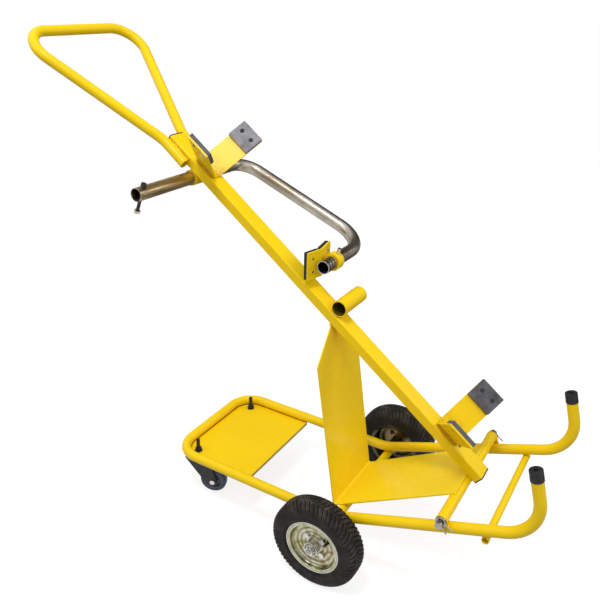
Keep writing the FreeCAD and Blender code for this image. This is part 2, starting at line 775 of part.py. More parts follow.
def make_caster(prefix, side):
    make_fork(f"{prefix}_caster_fork", caster_place(side))
    wheel = caster_place(side, S.caster_trail, 0, S.caster_wheel_radius, ALONG_Y)
    tread_inner = "caster_wheel_radius - caster_tread"
    tread = ring(f"{prefix}_caster_tread", wheel, "caster_wheel_radius", tread_inner,
                 "-caster_wheel_width / 2", "caster_wheel_width / 2")
    add_fillet(tread, "caster_tread_corner", lambda edge: is_circle(edge, S.caster_wheel_radius))
    turned(f"{prefix}_caster_hub", wheel, [
        ("caster_hub_bore + pin_gap", "-caster_boss_half"),
        ("caster_boss", "-caster_boss_half"),
        ("caster_boss", "-caster_web / 2"),
        (f"{tread_inner} - caster_rim", "-caster_web / 2"),
        (f"{tread_inner} - caster_rim", "-caster_wheel_width / 2"),
        (tread_inner, "-caster_wheel_width / 2"),
        (tread_inner, "caster_wheel_width / 2"),
        (f"{tread_inner} - caster_rim", "caster_wheel_width / 2"),
        (f"{tread_inner} - caster_rim", "caster_web / 2"),
        ("caster_boss", "caster_web / 2"),
        ("caster_boss", "caster_boss_half"),
        ("caster_hub_bore + pin_gap", "caster_boss_half"),
    ])

    def axle(i):
        solid = hex_bolt(S.caster_hub_bore, S.caster_bolt_flats, S.caster_bolt_head, 2 * L.fork_half,
                         S.caster_bolt_head, S.caster_bolt_end)
        solid.translate(Vector(0, 0, L.fork_half))
        return solid

    away = caster_place(side, S.caster_trail, 0, S.caster_wheel_radius, ALONG_MINUS_Y)
    solids_group(f"{prefix}_caster_axle", away, axle, 1)


def make_fork(name, place):
    body = new_body(name, place)
    sketch = new_sketch(body, "XZ_Plane", "side")
    toe = "caster_wheel_radius - fork_end_radius"
    add_outline(sketch, [
        ("-fork_top_reach", "fork_top"),
        ("-fork_top_reach", "fork_top - 2 * fork_wall"),
        ("caster_trail - fork_knee_reach", "fork_knee_height"),
        ("caster_trail - fork_toe_reach", toe),
        ("caster_trail + fork_end_radius", toe),
        ("caster_trail + fork_end_radius", "caster_wheel_radius"),
        ("fork_back_reach", "fork_top - 2 * fork_wall"),
        ("fork_back_reach", "fork_top"),
    ])
    add_pad(body, sketch, "2 * fork_half")
    low = S.caster_wheel_radius - S.fork_end_radius
    add_fillet(body, "fork_corner",
               lambda edge: edge_runs(edge, Y_AXIS) and abs(edge.BoundBox.ZMax - low) < 0.01)
    slot = new_sketch(body, "YZ_Plane", "slot")
    add_outline(slot, [
        ("-fork_inside", "0"),
        ("fork_inside", "0"),
        ("fork_inside", "fork_top - fork_wall"),
        ("-fork_inside", "fork_top - fork_wall"),
    ])
    add_cut(body, slot)
    kingpin = new_sketch(body, "XY_Plane", "kingpin")
    add_circle(kingpin, ("0", "0"), "stem_radius + rest_gap")
    add_cut(body, kingpin)
    bolt = new_sketch(body, "XZ_Plane", "bolt")
    add_circle(bolt, ("caster_trail", "caster_wheel_radius"), "caster_hub_bore + seat_gap")
    add_cut(body, bolt)


def make_caster_heads():
    """Fixed heads with their threaded stems, and the nuts on top: two of each, one to a caster."""
    place = in_world(-S.caster_reach, 0, 0)

    def both(i):
        return Vector(0, S.caster_side * (2 * i - 1), 0)

    def head(i):
        """The race under the deck, the stem up through the deck and the kingpin down through the fork."""
        low = L.fork_top - S.fork_wall - S.rest_gap - S.kingpin_head
        race = Part.makeCone(S.caster_race_radius, S.caster_head_radius, S.caster_head_height,
                             Vector(0, 0, L.head_under))
        rod = Part.makeCylinder(S.stem_radius, L.deck_top + S.stem_above - low, Vector(0, 0, low))
        flange = Part.makeCylinder(S.kingpin_radius, S.kingpin_head, Vector(0, 0, low))
        solid = race.fuse([rod, flange]).removeSplitter()
        solid.translate(both(i))
        return solid

    def nut(i):
        seat = Vector(0, 0, L.deck_top)
        flange = Part.makeCylinder(S.stem_flange_radius, S.stem_flange, seat)
        body = hexagon(S.stem_flats, S.stem_nut_height, L.deck_top).fuse(flange).removeSplitter()
        solid = body.cut(Part.makeCylinder(S.stem_radius, S.stem_nut_height, seat))
        solid.translate(both(i))
        return solid

    solids_group("caster_heads", place, head, 2)
    solids_group("caster_stem_nuts", place, nut, 2)


# Pivot: lugs on the rails' outer sides, a plain pin, washers and spring clips

def make_pivot():
    for name, side in (("near_pivot_lug", -1), ("far_pivot_lug", 1)):
        middle = L.lug_face + S.lug_thickness / 2
        body = new_body(name, in_rails(S.pivot_station, side * middle, L.pivot_lift))
        foot = new_sketch(body, "XZ_Plane", "foot")
        add_outline(foot, [("-lug_radius", "-lug_drop"), ("lug_radius", "-lug_drop"), ("lug_radius", "0"),
                           ("-lug_radius", "0")])
        add_pad(body, foot, "lug_thickness")
        arch = new_sketch(body, "XZ_Plane", "arch")
        add_circle(arch, ("0", "0"), "lug_radius")
        add_pad(body, arch, "lug_thickness")
        bore = new_sketch(body, "XZ_Plane", "bore")
        add_circle(bore, ("0", "0"), "pin_radius + seat_gap")
        add_cut(body, bore)
    place = in_rails(S.pivot_station, 0, L.pivot_lift, ALONG_Y)
    pin = turned("pivot_pin", place, [
        ("0", "-pin_half"),
        ("pin_radius", "-pin_half"),
        ("pin_radius", "pin_half"),
        ("0", "pin_half"),
    ])
    lean = in_world(L.pivot_x, 0, L.pivot_z, Rotation(Y_AXIS, -90 - S.clip_lean))
    cut_clip_holes(pin, place.inverse().multiply(lean))
    bore = "pin_radius + pin_gap"
    ring("pivot_tube", place, "pivot_tube_radius", bore, "-pivot_tube_half", "pivot_tube_half")

    def washer(i):
        low = L.lug_outer if i else -L.lug_outer - S.washer_thickness
        disc = Part.makeCylinder(S.washer_radius, S.washer_thickness, Vector(0, 0, low))
        return disc.cut(Part.makeCylinder(S.pin_radius + S.seat_gap, S.washer_thickness, Vector(0, 0, low)))

    solids_group("pivot_washers", place, washer, 2)
    for name, side in (("near_spring_clip", -1), ("far_spring_clip", 1)):
        start = lean.multiply(Placement(Vector(-S.clip_leg, side * L.clip_side, 0), Rotation()))
        bent_tube(name, start, "XZ_Plane", [
            ("0", "0"),
            ("clip_leg + clip_rise", "0"),
            ("clip_leg + clip_rise", "-clip_span"),
            ("clip_leg - pin_radius", "-clip_span"),
            ("clip_leg - pin_radius - clip_bow", "-clip_span - clip_bow / 2"),
        ], ["clip_bend"] * 3, "clip_wire")


def cut_clip_holes(pin, lean):
    """Cross holes near the pin's ends for the legs of the clips."""
    way = lean.Rotation.multVec(X_AXIS)
    turn = math.degrees(math.atan2(way.y, way.x))
    for name, side in (("near", -1), ("far", 1)):
        sketch = new_sketch(pin, "YZ_Plane", name)
        sketch.AttachmentOffset = Placement(Vector(), Rotation(Y_AXIS, turn))
        add_circle(sketch, ("0", f"{side} * clip_side"), "clip_wire + seat_gap")
        add_cut(pin, sketch)


# Beam and gusset

def make_beam():
    body = new_body("beam", in_beam(-S.beam_length, 0, 0))
    sketch = new_sketch(body, "YZ_Plane", "section")
    add_outline(sketch, box_section("0"))
    add_outline(sketch, box_section("beam_wall"))
    add_pad(body, sketch, "beam_length", symmetric=False)
    add_fillet(body, "beam_edge", lambda edge: edge_runs(edge, X_AXIS) and is_beam_corner(edge))
    make_beam_cap("lower_beam_cap", in_beam(0, 0, 0))
    make_beam_cap("upper_beam_cap", in_beam(-S.beam_length, 0, -S.beam_depth, Rotation(Y_AXIS, 180)))


def make_beam_cap(name, place):
    """A push-in cap for one end of the beam; its own X points out of the beam."""
    cap = new_body(name, place)
    cover = new_sketch(cap, "YZ_Plane", "cover")
    add_outline(cover, box_section("0"))
    add_pad(cap, cover, "beam_cap", symmetric=False)
    add_fillet(cap, "beam_edge", lambda edge: edge_runs(edge, X_AXIS))
    plug = new_sketch(cap, "YZ_Plane", "plug")
    add_outline(plug, box_section("beam_wall + seat_gap"))
    add_pad(cap, plug, "beam_plug", symmetric=False, reversed_way=True)


def box_section(inset):
    """The beam's section, drawn in by an inset all round."""
    side = f"beam_width / 2 - ({inset})"
    return [(f"-({side})", f"-({inset})"), (side, f"-({inset})"), (side, f"{inset} - beam_depth"),
            (f"-({side})", f"{inset} - beam_depth")]


def is_beam_corner(edge):
    box = edge.BoundBox
    on_side = abs(abs(box.YMax) - S.beam_width / 2) < 0.01
    return on_side and (abs(box.ZMax) < 0.01 or abs(box.ZMax + S.beam_depth) < 0.01)


def make_gusset():
    """A plate folded once: a floor over the axle tube to the pivot tube, and a web up to the beam."""
    body = new_body("gusset_plate", in_world(L.fold_x, 0, L.fold_z, Rotation(Y_AXIS, -S.web_lean)))
    sketch = new_sketch(body, "XZ_Plane", "fold")
    end = "(floor_length + floor_miter)"
    add_outline(sketch, [
        ("0", "0"),
        ("floor_length * cos(floor_tilt)", "floor_length * sin(floor_tilt)"),
        (f"{end} * cos(floor_tilt) + gusset_thickness * sin(floor_tilt)",
         f"{end} * sin(floor_tilt) - gusset_thickness * cos(floor_tilt)"),
        ("-gusset_thickness", "-fold_miter"),
        ("-gusset_thickness", "web_length + web_miter"),
        ("0", "web_length"),
    ])
    add_pad(body, sketch, "gusset_width")
    add_fillet(body, "fold_bend", lambda edge: edge_runs(edge, Y_AXIS) and near_line(edge, 0, 0))
    add_fillet(body, "fold_bend + gusset_thickness",
               lambda edge: edge_runs(edge, Y_AXIS) and near_line(edge, -S.gusset_thickness, -L.fold_miter))
    taper = new_sketch(body, "YZ_Plane", "taper")
    for side in (-1, 1):
        outer = f"{side} * gusset_width / 2"
        inner = f"{side} * beam_width / 2"
        top = "web_length + web_miter + gusset_thickness"
        add_outline(taper, [(outer, "web_length - taper_length"), (outer, top), (inner, top),
                            (inner, "web_length - taper_rise")])
    add_cut(body, taper)


def near_line(edge, x, z):
    """Whether an edge along Y passes through this x and z."""
    box = edge.BoundBox
    return math.hypot(box.XMin - x, box.ZMin - z) < 0.01


# Push handle

def make_handle():
    """The loop lies beside the beam's end and rises a little from the beam's line."""
    turn = Rotation(Y_AXIS, S.handle_rise).multiply(Rotation(Z_AXIS, 180))
    place = in_beam(-L.handle_foot, -L.handle_side, -S.handle_depth, turn)
    far_side = "2 * handle_side"
    bent_tube("handle_loop", place, "XY_Plane", [
        ("0", "0"),
        ("handle_straight", "0"),
        ("handle_end - handle_foot", "handle_half - handle_side"),
        ("handle_end - handle_foot", "-handle_half - handle_side"),
        ("handle_straight", f"-{far_side}"),
        ("0", f"-{far_side}"),
    ], ["handle_foot_bend", "handle_bend", "handle_bend", "handle_foot_bend"], "tube_radius", "bore_radius")


# Pads: rubber plates on a steel plate, their screws sunk in the rubber and ending in the steel.
# In a pad's own axes the steel lies on z = 0, the rubber above it, and the two screws side by side along X.

def add_screw_circles(sketch, middle, radius):
    for way in (-1, 1):
        add_circle(sketch, (f"{way} * pad_screw_step / 2", middle), radius)


def make_pad(name, place, width, low, high, middle, steel):
    """A rubber plate of a width along X, from low to high along Y, on steel of a named thickness."""
    body = new_body(name, place)
    layers = (
        ("base", steel, "pad_thickness - pad_screw_sink", "pad_screw_radius + seat_gap"),
        ("face", f"{steel} + pad_thickness - pad_screw_sink", "pad_screw_sink", "pad_screw_head + seat_gap"),
    )
    for layer, height, thickness, hole in layers:
        sketch = new_sketch(body, "XY_Plane", layer, height)
        add_outline(sketch, [(f"-{width} / 2", low), (f"{width} / 2", low), (f"{width} / 2", high),
                             (f"-{width} / 2", high)])
        add_screw_circles(sketch, middle, hole)
        add_pad(body, sketch, thickness, symmetric=False)
    add_fillet(body, "pad_edge", lambda edge: edge_runs(edge, Z_AXIS))


def cut_screw_holes(body, name, place, middle):
    """Cut the screws' holes through the steel, from a sketch that lies on the pad's own z = 0."""
    holes = new_sketch(body, "XY_Plane", name)
    holes.AttachmentOffset = body.Placement.inverse().multiply(place)
    add_screw_circles(holes, middle, "pad_screw_radius + seat_gap")
    add_cut(body, holes)


def make_pad_screws(name, frame, spots, steel):
    """Two screws to each pad; a spot is the pad's place and how far along its Y the screws stand."""
    seat = steel + S.pad_thickness - S.pad_screw_sink

    def screw(i):
        place, middle = spots[i // 2]
        head = Part.makeCylinder(S.pad_screw_head, S.pad_screw_sink - S.seat_gap, Vector(0, 0, seat))
        solid = head.fuse(Part.makeCylinder(S.pad_screw_radius, seat)).removeSplitter()
        way = 2 * (i % 2) - 1
        hole = Placement(Vector(way * S.pad_screw_step / 2, middle, 0), Rotation())
        solid.Placement = frame.inverse().multiply(place).multiply(hole)
        return solid

    solids_group(name, frame, screw, 2 * len(spots))


# V cradles on the beam

def wing_place(station, side):
    """The lower corner of a cradle's wing; X runs along the beam, Y out along the wing."""
    return in_beam(-station, side * S.cradle_flat, 0, Rotation(X_AXIS, side * S.wing_angle))


def make_cradle(prefix, station):
    body = new_body(f"{prefix}_cradle", in_beam(-station, 0, 0))
    sketch = new_sketch(body, "YZ_Plane", "section")
    reach = "cradle_flat + cradle_wing * cos(wing_angle)"
    rise = "cradle_wing * sin(wing_angle)"
    right = [
        ("cradle_flat", "0"),
        (reach, rise),
        (f"{reach} - cradle_thickness * sin(wing_angle)", f"{rise} + cradle_thickness * cos(wing_angle)"),
        ("cradle_flat - cradle_thickness * tan(wing_angle / 2)", "cradle_thickness"),
    ]
    left = [(f"-({y})", z) for y, z in reversed(right)]
    add_outline(sketch, right + left)
    add_pad(body, sketch, "cradle_length")
    add_fillet(body, "cradle_bend", lambda edge: edge_runs(edge, X_AXIS) and abs(edge.BoundBox.ZMax) < 0.01)
    for name, side in (("near", -1), ("far", 1)):
        place = wing_place(station, side)
        middle = f"{side} * (pad_middle + pad_screw_out)"
        cut_screw_holes(body, name, place, middle)
        make_pad(f"{prefix}_{name}_pad", place, "cradle_length", f"{side} * (pad_middle - pad_length / 2)",
                 f"{side} * (pad_middle + pad_length / 2)", middle, "cradle_thickness")


def make_cradle_screws():
    spots = [(wing_place(station, side), side * (L.pad_middle + S.pad_screw_out))
             for station in (L.upper_cradle_station, S.lower_cradle_station) for side in (-1, 1)]
    make_pad_screws("pad_screws", in_beam(0, 0, 0), spots, S.cradle_thickness)


# Clamp arm; in its own axes X runs from the sleeve to the pad's leg and Y along both legs

def in_arm(x, y, z, turn=None):
    frame = in_beam(-L.arm_station, 0, -L.arm_depth, Rotation(Y_AXIS, -S.arm_rise))
    return frame.multiply(Placement(Vector(x, y, z), turn or Rotation()))


def make_arm():
    sleeve = in_beam(-L.arm_station, 0, -L.arm_depth, ALONG_Y)
    ring("arm_sleeve", sleeve, "sleeve_radius", "arm_radius + pin_gap", "-sleeve_near", "sleeve_far")
    legs = "arm_open_reach + arm_side"
    arm = bent_tube("clamp_arm", in_arm(0, -S.arm_open_reach, 0, Rotation(Z_AXIS, 90)), "XY_Plane", [
        ("0", "0"),
        (legs, "0"),
        (legs, "-arm_span"),
        ("arm_open_reach - arm_end_reach", "-arm_span"),
    ], ["arm_bend", "arm_pad_bend"], "arm_radius", "arm_radius - arm_wall")
    hole = new_sketch(arm, "XY_Plane", "stop")
    add_circle(hole, ("stop_inset", "0"), "stop_radius + seat_gap")
    add_cut(arm, hole)
    stop = in_arm(0, S.stop_inset - S.arm_open_reach, 0)
    turned("stop_screw", stop, [
        ("0", "arm_radius + stop_head_height"),
        ("stop_head_radius", "arm_radius + stop_head_height"),
        ("stop_head_radius", "arm_radius"),
        ("stop_radius", "arm_radius"),
        ("stop_radius", "-arm_radius - stop_tail"),
        ("0", "-arm_radius - stop_tail"),
    ])

    def nut(i):
        low = S.stop_nut_end - S.arm_radius - S.stop_tail
        bore = Part.makeCylinder(S.stop_radius, S.stop_nut_height, Vector(0, 0, low))
        return hexagon(S.stop_nut_flats, S.stop_nut_height, low).cut(bore)

    solids_group("stop_nut", stop, nut, 1)


# Collar on the arm's free leg, and the V bracket that stands upright on it

def in_collar(x, y, z, turn=None):
    centre = in_arm(S.arm_span, 0, 0).Base
    return Placement(centre, Rotation()).multiply(Placement(Vector(x, y, z), turn or Rotation()))


def make_collar():
    place = in_arm(S.arm_span, L.collar_middle, 0, ALONG_Y)
    collar = ring("pad_collar", place, "collar_radius", "arm_radius + pin_gap",
                  "-collar_length / 2", "collar_length / 2")
    hole = new_sketch(collar, "XZ_Plane", "set_screw")
    add_circle(hole, ("0", "0"), "set_screw_radius + seat_gap")
    add_cut(collar, hole)
    turned("set_screw", in_arm(S.arm_span, L.collar_middle, 0), [
        ("0", "arm_radius + 2 * pin_gap"),
        ("set_screw_radius", "arm_radius + 2 * pin_gap"),
        ("set_screw_radius", "collar_radius + set_screw_stem"),
        ("set_screw_head_radius", "collar_radius + set_screw_stem"),
        ("set_screw_head_radius", "collar_radius + set_screw_stem + set_screw_head"),
        ("0", "collar_radius + set_screw_stem + set_screw_head"),
    ])


def bracket_wing_place(angle, side):
    """The fold at one wing's front face; Y runs out along the wing and Z through the plate to its rubber."""
    lean = math.radians(angle)
    out = Vector(-math.sin(lean), side * math.cos(lean), 0)
    back = Vector(-math.cos(lean), -side * math.sin(lean), 0)
    return in_collar(L.bracket_fold_x, S.bracket_fold_side, 0, Rotation(out.cross(back), out, back, "YZX"))


def make_bracket():
    """A plate folded once about an upright line, with rubber on the inside of both wings."""
    body = new_body("pad_bracket", in_collar(L.bracket_fold_x, S.bracket_fold_side, 0))
    sketch = new_sketch(body, "XY_Plane", "plan")
    ends = []
    for name, side in (("far", 1), ("near", -1)):
        angle, length = f"bracket_{name}_angle", f"bracket_{name}_length"
        front = (f"-{length} * sin({angle})", f"{side} * {length} * cos({angle})")
        back = (f"{front[0]} - bracket_thickness * cos({angle})",
                f"{front[1]} - {side} * bracket_thickness * sin({angle})")
        ends.append((front, back))
    corner = ("-bracket_corner * cos(bracket_twist)", "bracket_corner * sin(bracket_twist)")
    add_outline(sketch, [("0", "0"), *ends[0], corner, *reversed(ends[1])])
    add_pad(body, sketch, "bracket_height")
    spots = []
    for name, side in (("near", -1), ("far", 1)):
        place = bracket_wing_place(getattr(S, f"bracket_{name}_angle"), side)
        middle = f"bracket_{name}_length - bracket_screw_back"
        cut_screw_holes(body, name, place, middle)
        make_pad(f"{name}_bracket_rubber", place, "bracket_height", "bracket_rubber_start",
                 f"bracket_{name}_length", middle, "bracket_thickness")
        spots.append((place, getattr(S, f"bracket_{name}_length") - S.bracket_screw_back))
    make_pad_screws("bracket_screws", in_collar(0, 0, 0), spots, S.bracket_thickness)


def make_stub():
    place = in_beam(-L.stub_station, 0, S.stub_radius, ALONG_Y)
    ring("stub_tube", place, "stub_radius", "stub_radius - stub_wall", "-stub_near", "stub_far")


def write_pieces():
    os.makedirs("parts", exist_ok=True)
    doc.recompute()
    for thing in doc.Objects:
        if "Invalid" in thing.State or "Error" in thing.State:
            raise RuntimeError(f"{thing.Name} failed: {thing.State}")
    for piece in pieces:
        if piece.Shape.isNull() or not piece.Shape.isValid():
            raise RuntimeError(f"{piece.Label} has no valid shape")
    for piece in pieces:
        piece.Shape.exportStep(f"parts/{piece.Label}.step")


make_rails()
make_platform_tube()
make_prong_caps()
make_brace()
make_axle_tube()
make_deck()
make_axle()
for prefix, side in (("near", -1), ("far", 1)):
    make_wheel(prefix, side)
    make_caster(prefix, side)
make_caster_heads()
make_pivot()
make_beam()
make_gusset()
make_handle()
make_cradle("upper", L.upper_cradle_station)
make_cradle("lower", S.lower_cradle_station)
make_cradle_screws()
make_arm()
make_collar()
make_bracket()
make_stub()
write_pieces()
print(len(pieces), "pieces")
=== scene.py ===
import math

import bpy
from mathutils import Matrix, Vector


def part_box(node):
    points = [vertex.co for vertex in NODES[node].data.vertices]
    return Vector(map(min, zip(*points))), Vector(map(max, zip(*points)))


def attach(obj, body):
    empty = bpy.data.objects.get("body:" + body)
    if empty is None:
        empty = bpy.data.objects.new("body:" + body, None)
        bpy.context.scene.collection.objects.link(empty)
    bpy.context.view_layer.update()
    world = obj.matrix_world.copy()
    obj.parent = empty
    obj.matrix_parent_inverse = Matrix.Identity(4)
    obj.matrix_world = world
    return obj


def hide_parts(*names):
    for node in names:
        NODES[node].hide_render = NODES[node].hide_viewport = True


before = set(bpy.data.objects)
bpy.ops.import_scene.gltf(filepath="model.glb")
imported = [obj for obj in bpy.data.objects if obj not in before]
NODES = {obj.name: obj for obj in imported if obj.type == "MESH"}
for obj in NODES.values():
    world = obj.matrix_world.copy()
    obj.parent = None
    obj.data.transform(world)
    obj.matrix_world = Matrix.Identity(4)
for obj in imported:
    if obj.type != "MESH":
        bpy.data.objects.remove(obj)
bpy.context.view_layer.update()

# Looks of a cylinder lifting trolley, in metres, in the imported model's own frame.
SIDES = (("near", -1), ("far", 1))
ACROSS = Vector((0, 1, 0))


# Places: the axle, and the tilted axes of the beam and of the gusset's web

def middle(node):
    low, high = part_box(node)
    return (low + high) / 2


AXLE = middle("axle_rod")
ARM_LEG = middle("arm_sleeve")
TILT = math.radians(37.63)
BEAM_START = Vector((AXLE.x + 0.297351, 0, 0.28319))
BEAM_UP = Vector((-math.cos(TILT), 0, math.sin(TILT)))
BEAM_OUT = Vector((math.sin(TILT), 0, math.cos(TILT)))
LEAN = math.radians(8.93)
FOLD = Vector((AXLE.x - 0.024482, 0, 0.112259))
WEB_UP = Vector((-math.sin(LEAN), 0, math.cos(LEAN)))
WEB_OUT = Vector((math.cos(LEAN), 0, math.sin(LEAN)))

# Stations up the beam from its lower end, and the web's top above its fold
PIVOT_STATION = 0.0144
LOWER_CRADLE_STATION = 0.0867
STUB_STATION = 0.4865
UPPER_CRADLE_STATION = 0.917
SLEEVE_STATION = 0.9647
HANDLE_FOOT, BEAM_END = 0.991, 1.062
WEB_TOP = 0.4440


def on_beam(up, y, out):
    """A point measured up the beam from its lower end, across it, and out of its top face."""
    return BEAM_START + BEAM_UP * up + ACROSS * y + BEAM_OUT * out


def on_web(out, y, up):
    """A point measured from the gusset's fold, out of the web, across it and up it."""
    return FOLD + WEB_OUT * out + ACROSS * y + WEB_UP * up


# Materials, built from nodes

class Shader:
    """A material with its nodes, built up by short calls."""

    def __init__(self, name):
        self.material = bpy.data.materials.new(name)
        self.material.use_nodes = True
        self.tree = self.material.node_tree
        self.nodes = self.tree.nodes
        self.bsdf = self.nodes["Principled BSDF"]
        self.place = self.node("ShaderNodeTexCoord").outputs["Object"]

    def node(self, kind, **settings):
        made = self.nodes.new(kind)
        for key, value in settings.items():
            setattr(made, key, value)
        return made

    def link(self, source, target):
        self.tree.links.new(source, target)

    def put(self, **values):
        """Set shader sockets to plain values; an underscore stands for a space in a socket's name."""
        for key, value in values.items():
            self.bsdf.inputs[key.replace("_", " ")].default_value = value

    def noise(self, scale, detail=3.0, rough=0.5, stretch=None, distortion=0.0):
        made = self.node("ShaderNodeTexNoise")
        made.inputs["Scale"].default_value = scale
        made.inputs["Detail"].default_value = detail
        made.inputs["Roughness"].default_value = rough
        made.inputs["Distortion"].default_value = distortion
        place = self.place
        if stretch:
            mapping = self.node("ShaderNodeMapping")
            mapping.inputs["Scale"].default_value = stretch
            self.link(place, mapping.inputs["Vector"])
            place = mapping.outputs["Vector"]
        self.link(place, made.inputs["Vector"])
        return made.outputs["Fac"]

    def ramp(self, value, *stops):
        made = self.node("ShaderNodeValToRGB")
        elements = made.color_ramp.elements
        while len(elements) < len(stops):
            elements.new(0.5)
        for element, (position, colour) in zip(elements, stops):
            element.position = position
            element.color = (*colour, 1.0)
        self.link(value, made.inputs["Fac"])
        return made.outputs["Color"]

    def span(self, value, low, high, to_low=0.0, to_high=1.0):
        """The value moved from the range low to high into the range to_low to to_high."""
        made = self.node("ShaderNodeMapRange")
        ends = (("From Min", low), ("From Max", high), ("To Min", to_low), ("To Max", to_high))
        for key, number in ends:
            made.inputs[key].default_value = number
        self.link(value, made.inputs["Value"])
        return made.outputs["Result"]

    def mix(self, factor, first, second, kind="MIX"):
        made = self.node("ShaderNodeMix", data_type="RGBA", blend_type=kind)
        factor_in, first_in, second_in = (made.inputs[k] for k in (0, 6, 7))
        for socket, value in ((factor_in, factor), (first_in, first), (second_in, second)):
            if isinstance(value, bpy.types.NodeSocket):
                self.link(value, socket)
            elif isinstance(value, (int, float)):
                socket.default_value = value
            else:
                socket.default_value = (*value, 1.0)
        return made.outputs[2]

    def maths(self, kind, first, second=0.0):
        made = self.node("ShaderNodeMath", operation=kind)
        for socket, value in zip(made.inputs, (first, second)):
            if isinstance(value, bpy.types.NodeSocket):
                self.link(value, socket)
            else:
                socket.default_value = value
        return made.outputs[0]

    def apart(self, vector, axis):
        split = self.node("ShaderNodeSeparateXYZ")
        self.link(vector, split.inputs[0])
        return split.outputs[axis]

    def along(self, axis):
        return self.apart(self.place, axis)

    def squares(self, first, second):
        """The sum of two squares."""
        return self.maths("ADD", self.maths("MULTIPLY", first, first), self.maths("MULTIPLY", second, second))

    def colour(self, source):
        self.link(source, self.bsdf.inputs["Base Color"])

    def roughness(self, source):
        self.link(source, self.bsdf.inputs["Roughness"])

    def bump(self, height, distance, strength):
        made = self.node("ShaderNodeBump")
        made.inputs["Distance"].default_value = distance
        made.inputs["Strength"].default_value = strength
        self.link(height, made.inputs["Height"])
        self.link(made.outputs["Normal"], self.bsdf.inputs["Normal"])


def times(colour, factor):
    return tuple(v * factor for v in colour)


def painted_yellow(name="yellow_powder_coat", shade_mask=None, shade_colour=(0.0, 0.0, 0.0), pale=0.0):
    """Yellow powder coat, darkened toward a given colour where a mask function marks painted shade."""
    s = Shader(name)
    base = s.ramp(s.noise(5.0, 2.0), (0.3, (0.92, 0.620 + pale, 0.004 + pale / 6)),
                  (0.7, (0.96, 0.655 + pale, 0.006 + pale / 6)))
    scuff = s.maths("MULTIPLY", s.span(s.noise(30.0, 5.0, 0.7), 0.62, 0.80), 0.10)
    base = s.mix(scuff, base, (0.74, 0.46, 0.02))
    # Painted shade, where the mask marks it.
    if shade_mask:
        base = s.mix(shade_mask(s), base, shade_colour)
    s.colour(base)
    s.roughness(s.span(s.noise(12.0, 3.0), 0.3, 0.7, 0.23, 0.31))
    s.put(Specular_IOR_Level=0.18)
    s.bump(s.noise(140.0, 2.0, 0.4), 0.0002, 0.03)
    return s.material


def stub_inside_shade(s):
    """Painted shade inside the stub tube: what lies nearer its axis than the tube's wall."""
    axis_out, wall = 0.0195, 0.0172
    axis = on_beam(STUB_STATION, 0, axis_out)
    square = s.squares(s.maths("SUBTRACT", s.along(0), axis.x), s.maths("SUBTRACT", s.along(2), axis.z))
    return s.maths("MULTIPLY", s.maths("LESS_THAN", square, wall ** 2), 0.93)


def deck_edge_shade(s):
    """Painted shade along the seam where the deck meets the tube, and on the folded lip at its open edge,
    below the bend.
    """
    low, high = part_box("platform_deck")
    skin, bend_top, bend_end = 0.0006, 0.0016, 0.0032
    near_edge = s.maths("GREATER_THAN", s.along(0), high.x - skin)
    below_bend = s.span(s.along(2), high.z - bend_end, high.z - bend_top, 0.70, 0.0)
    lip = s.maths("MULTIPLY", near_edge, below_bend)
    corner, seam = 0.0575, 0.0052
    x = s.maths("MAXIMUM", s.maths("SUBTRACT", low.x + corner, s.along(0)), 0.0)
    aside = s.maths("ABSOLUTE", s.along(1))
    y = s.maths("MAXIMUM", s.maths("SUBTRACT", aside, high.y - corner), 0.0)
    reach = s.maths("SQRT", s.squares(x, y))
    rim = s.span(reach, corner - seam, corner - seam * 0.8, 0.0, 0.85)
    return s.maths("MAXIMUM", lip, rim)


def fold_shade(s):
    """Painted shade in patches low in a cradle's V, and where it meets the beam."""
    across_x = s.maths("MULTIPLY", s.along(0), BEAM_OUT.x)
    across_z = s.maths("MULTIPLY", s.along(2), BEAM_OUT.z)
    out = s.maths("ADD", across_x, across_z)
    beam_top = BEAM_START.dot(BEAM_OUT)
    low = s.span(out, beam_top + 0.004, beam_top + 0.030, 0.75, 0.0)
    return s.maths("MULTIPLY", low, s.span(s.noise(45.0, 4.0, 0.7), 0.40, 0.62))


def plain_finish(name, cloud, stops, rough, grain, specular=None):
    """A finish in two tones: cloud is the noise of its colour, rough and grain give gloss and relief."""
    s = Shader(name)
    s.colour(s.ramp(s.noise(*cloud), *stops))
    scale, detail, low, high = rough
    s.roughness(s.span(s.noise(scale, detail), 0.3, 0.7, low, high))
    if specular is not None:
        s.put(Specular_IOR_Level=specular)
    scale, detail, distance, strength = grain
    s.bump(s.noise(scale, detail), distance, strength)
    return s.material


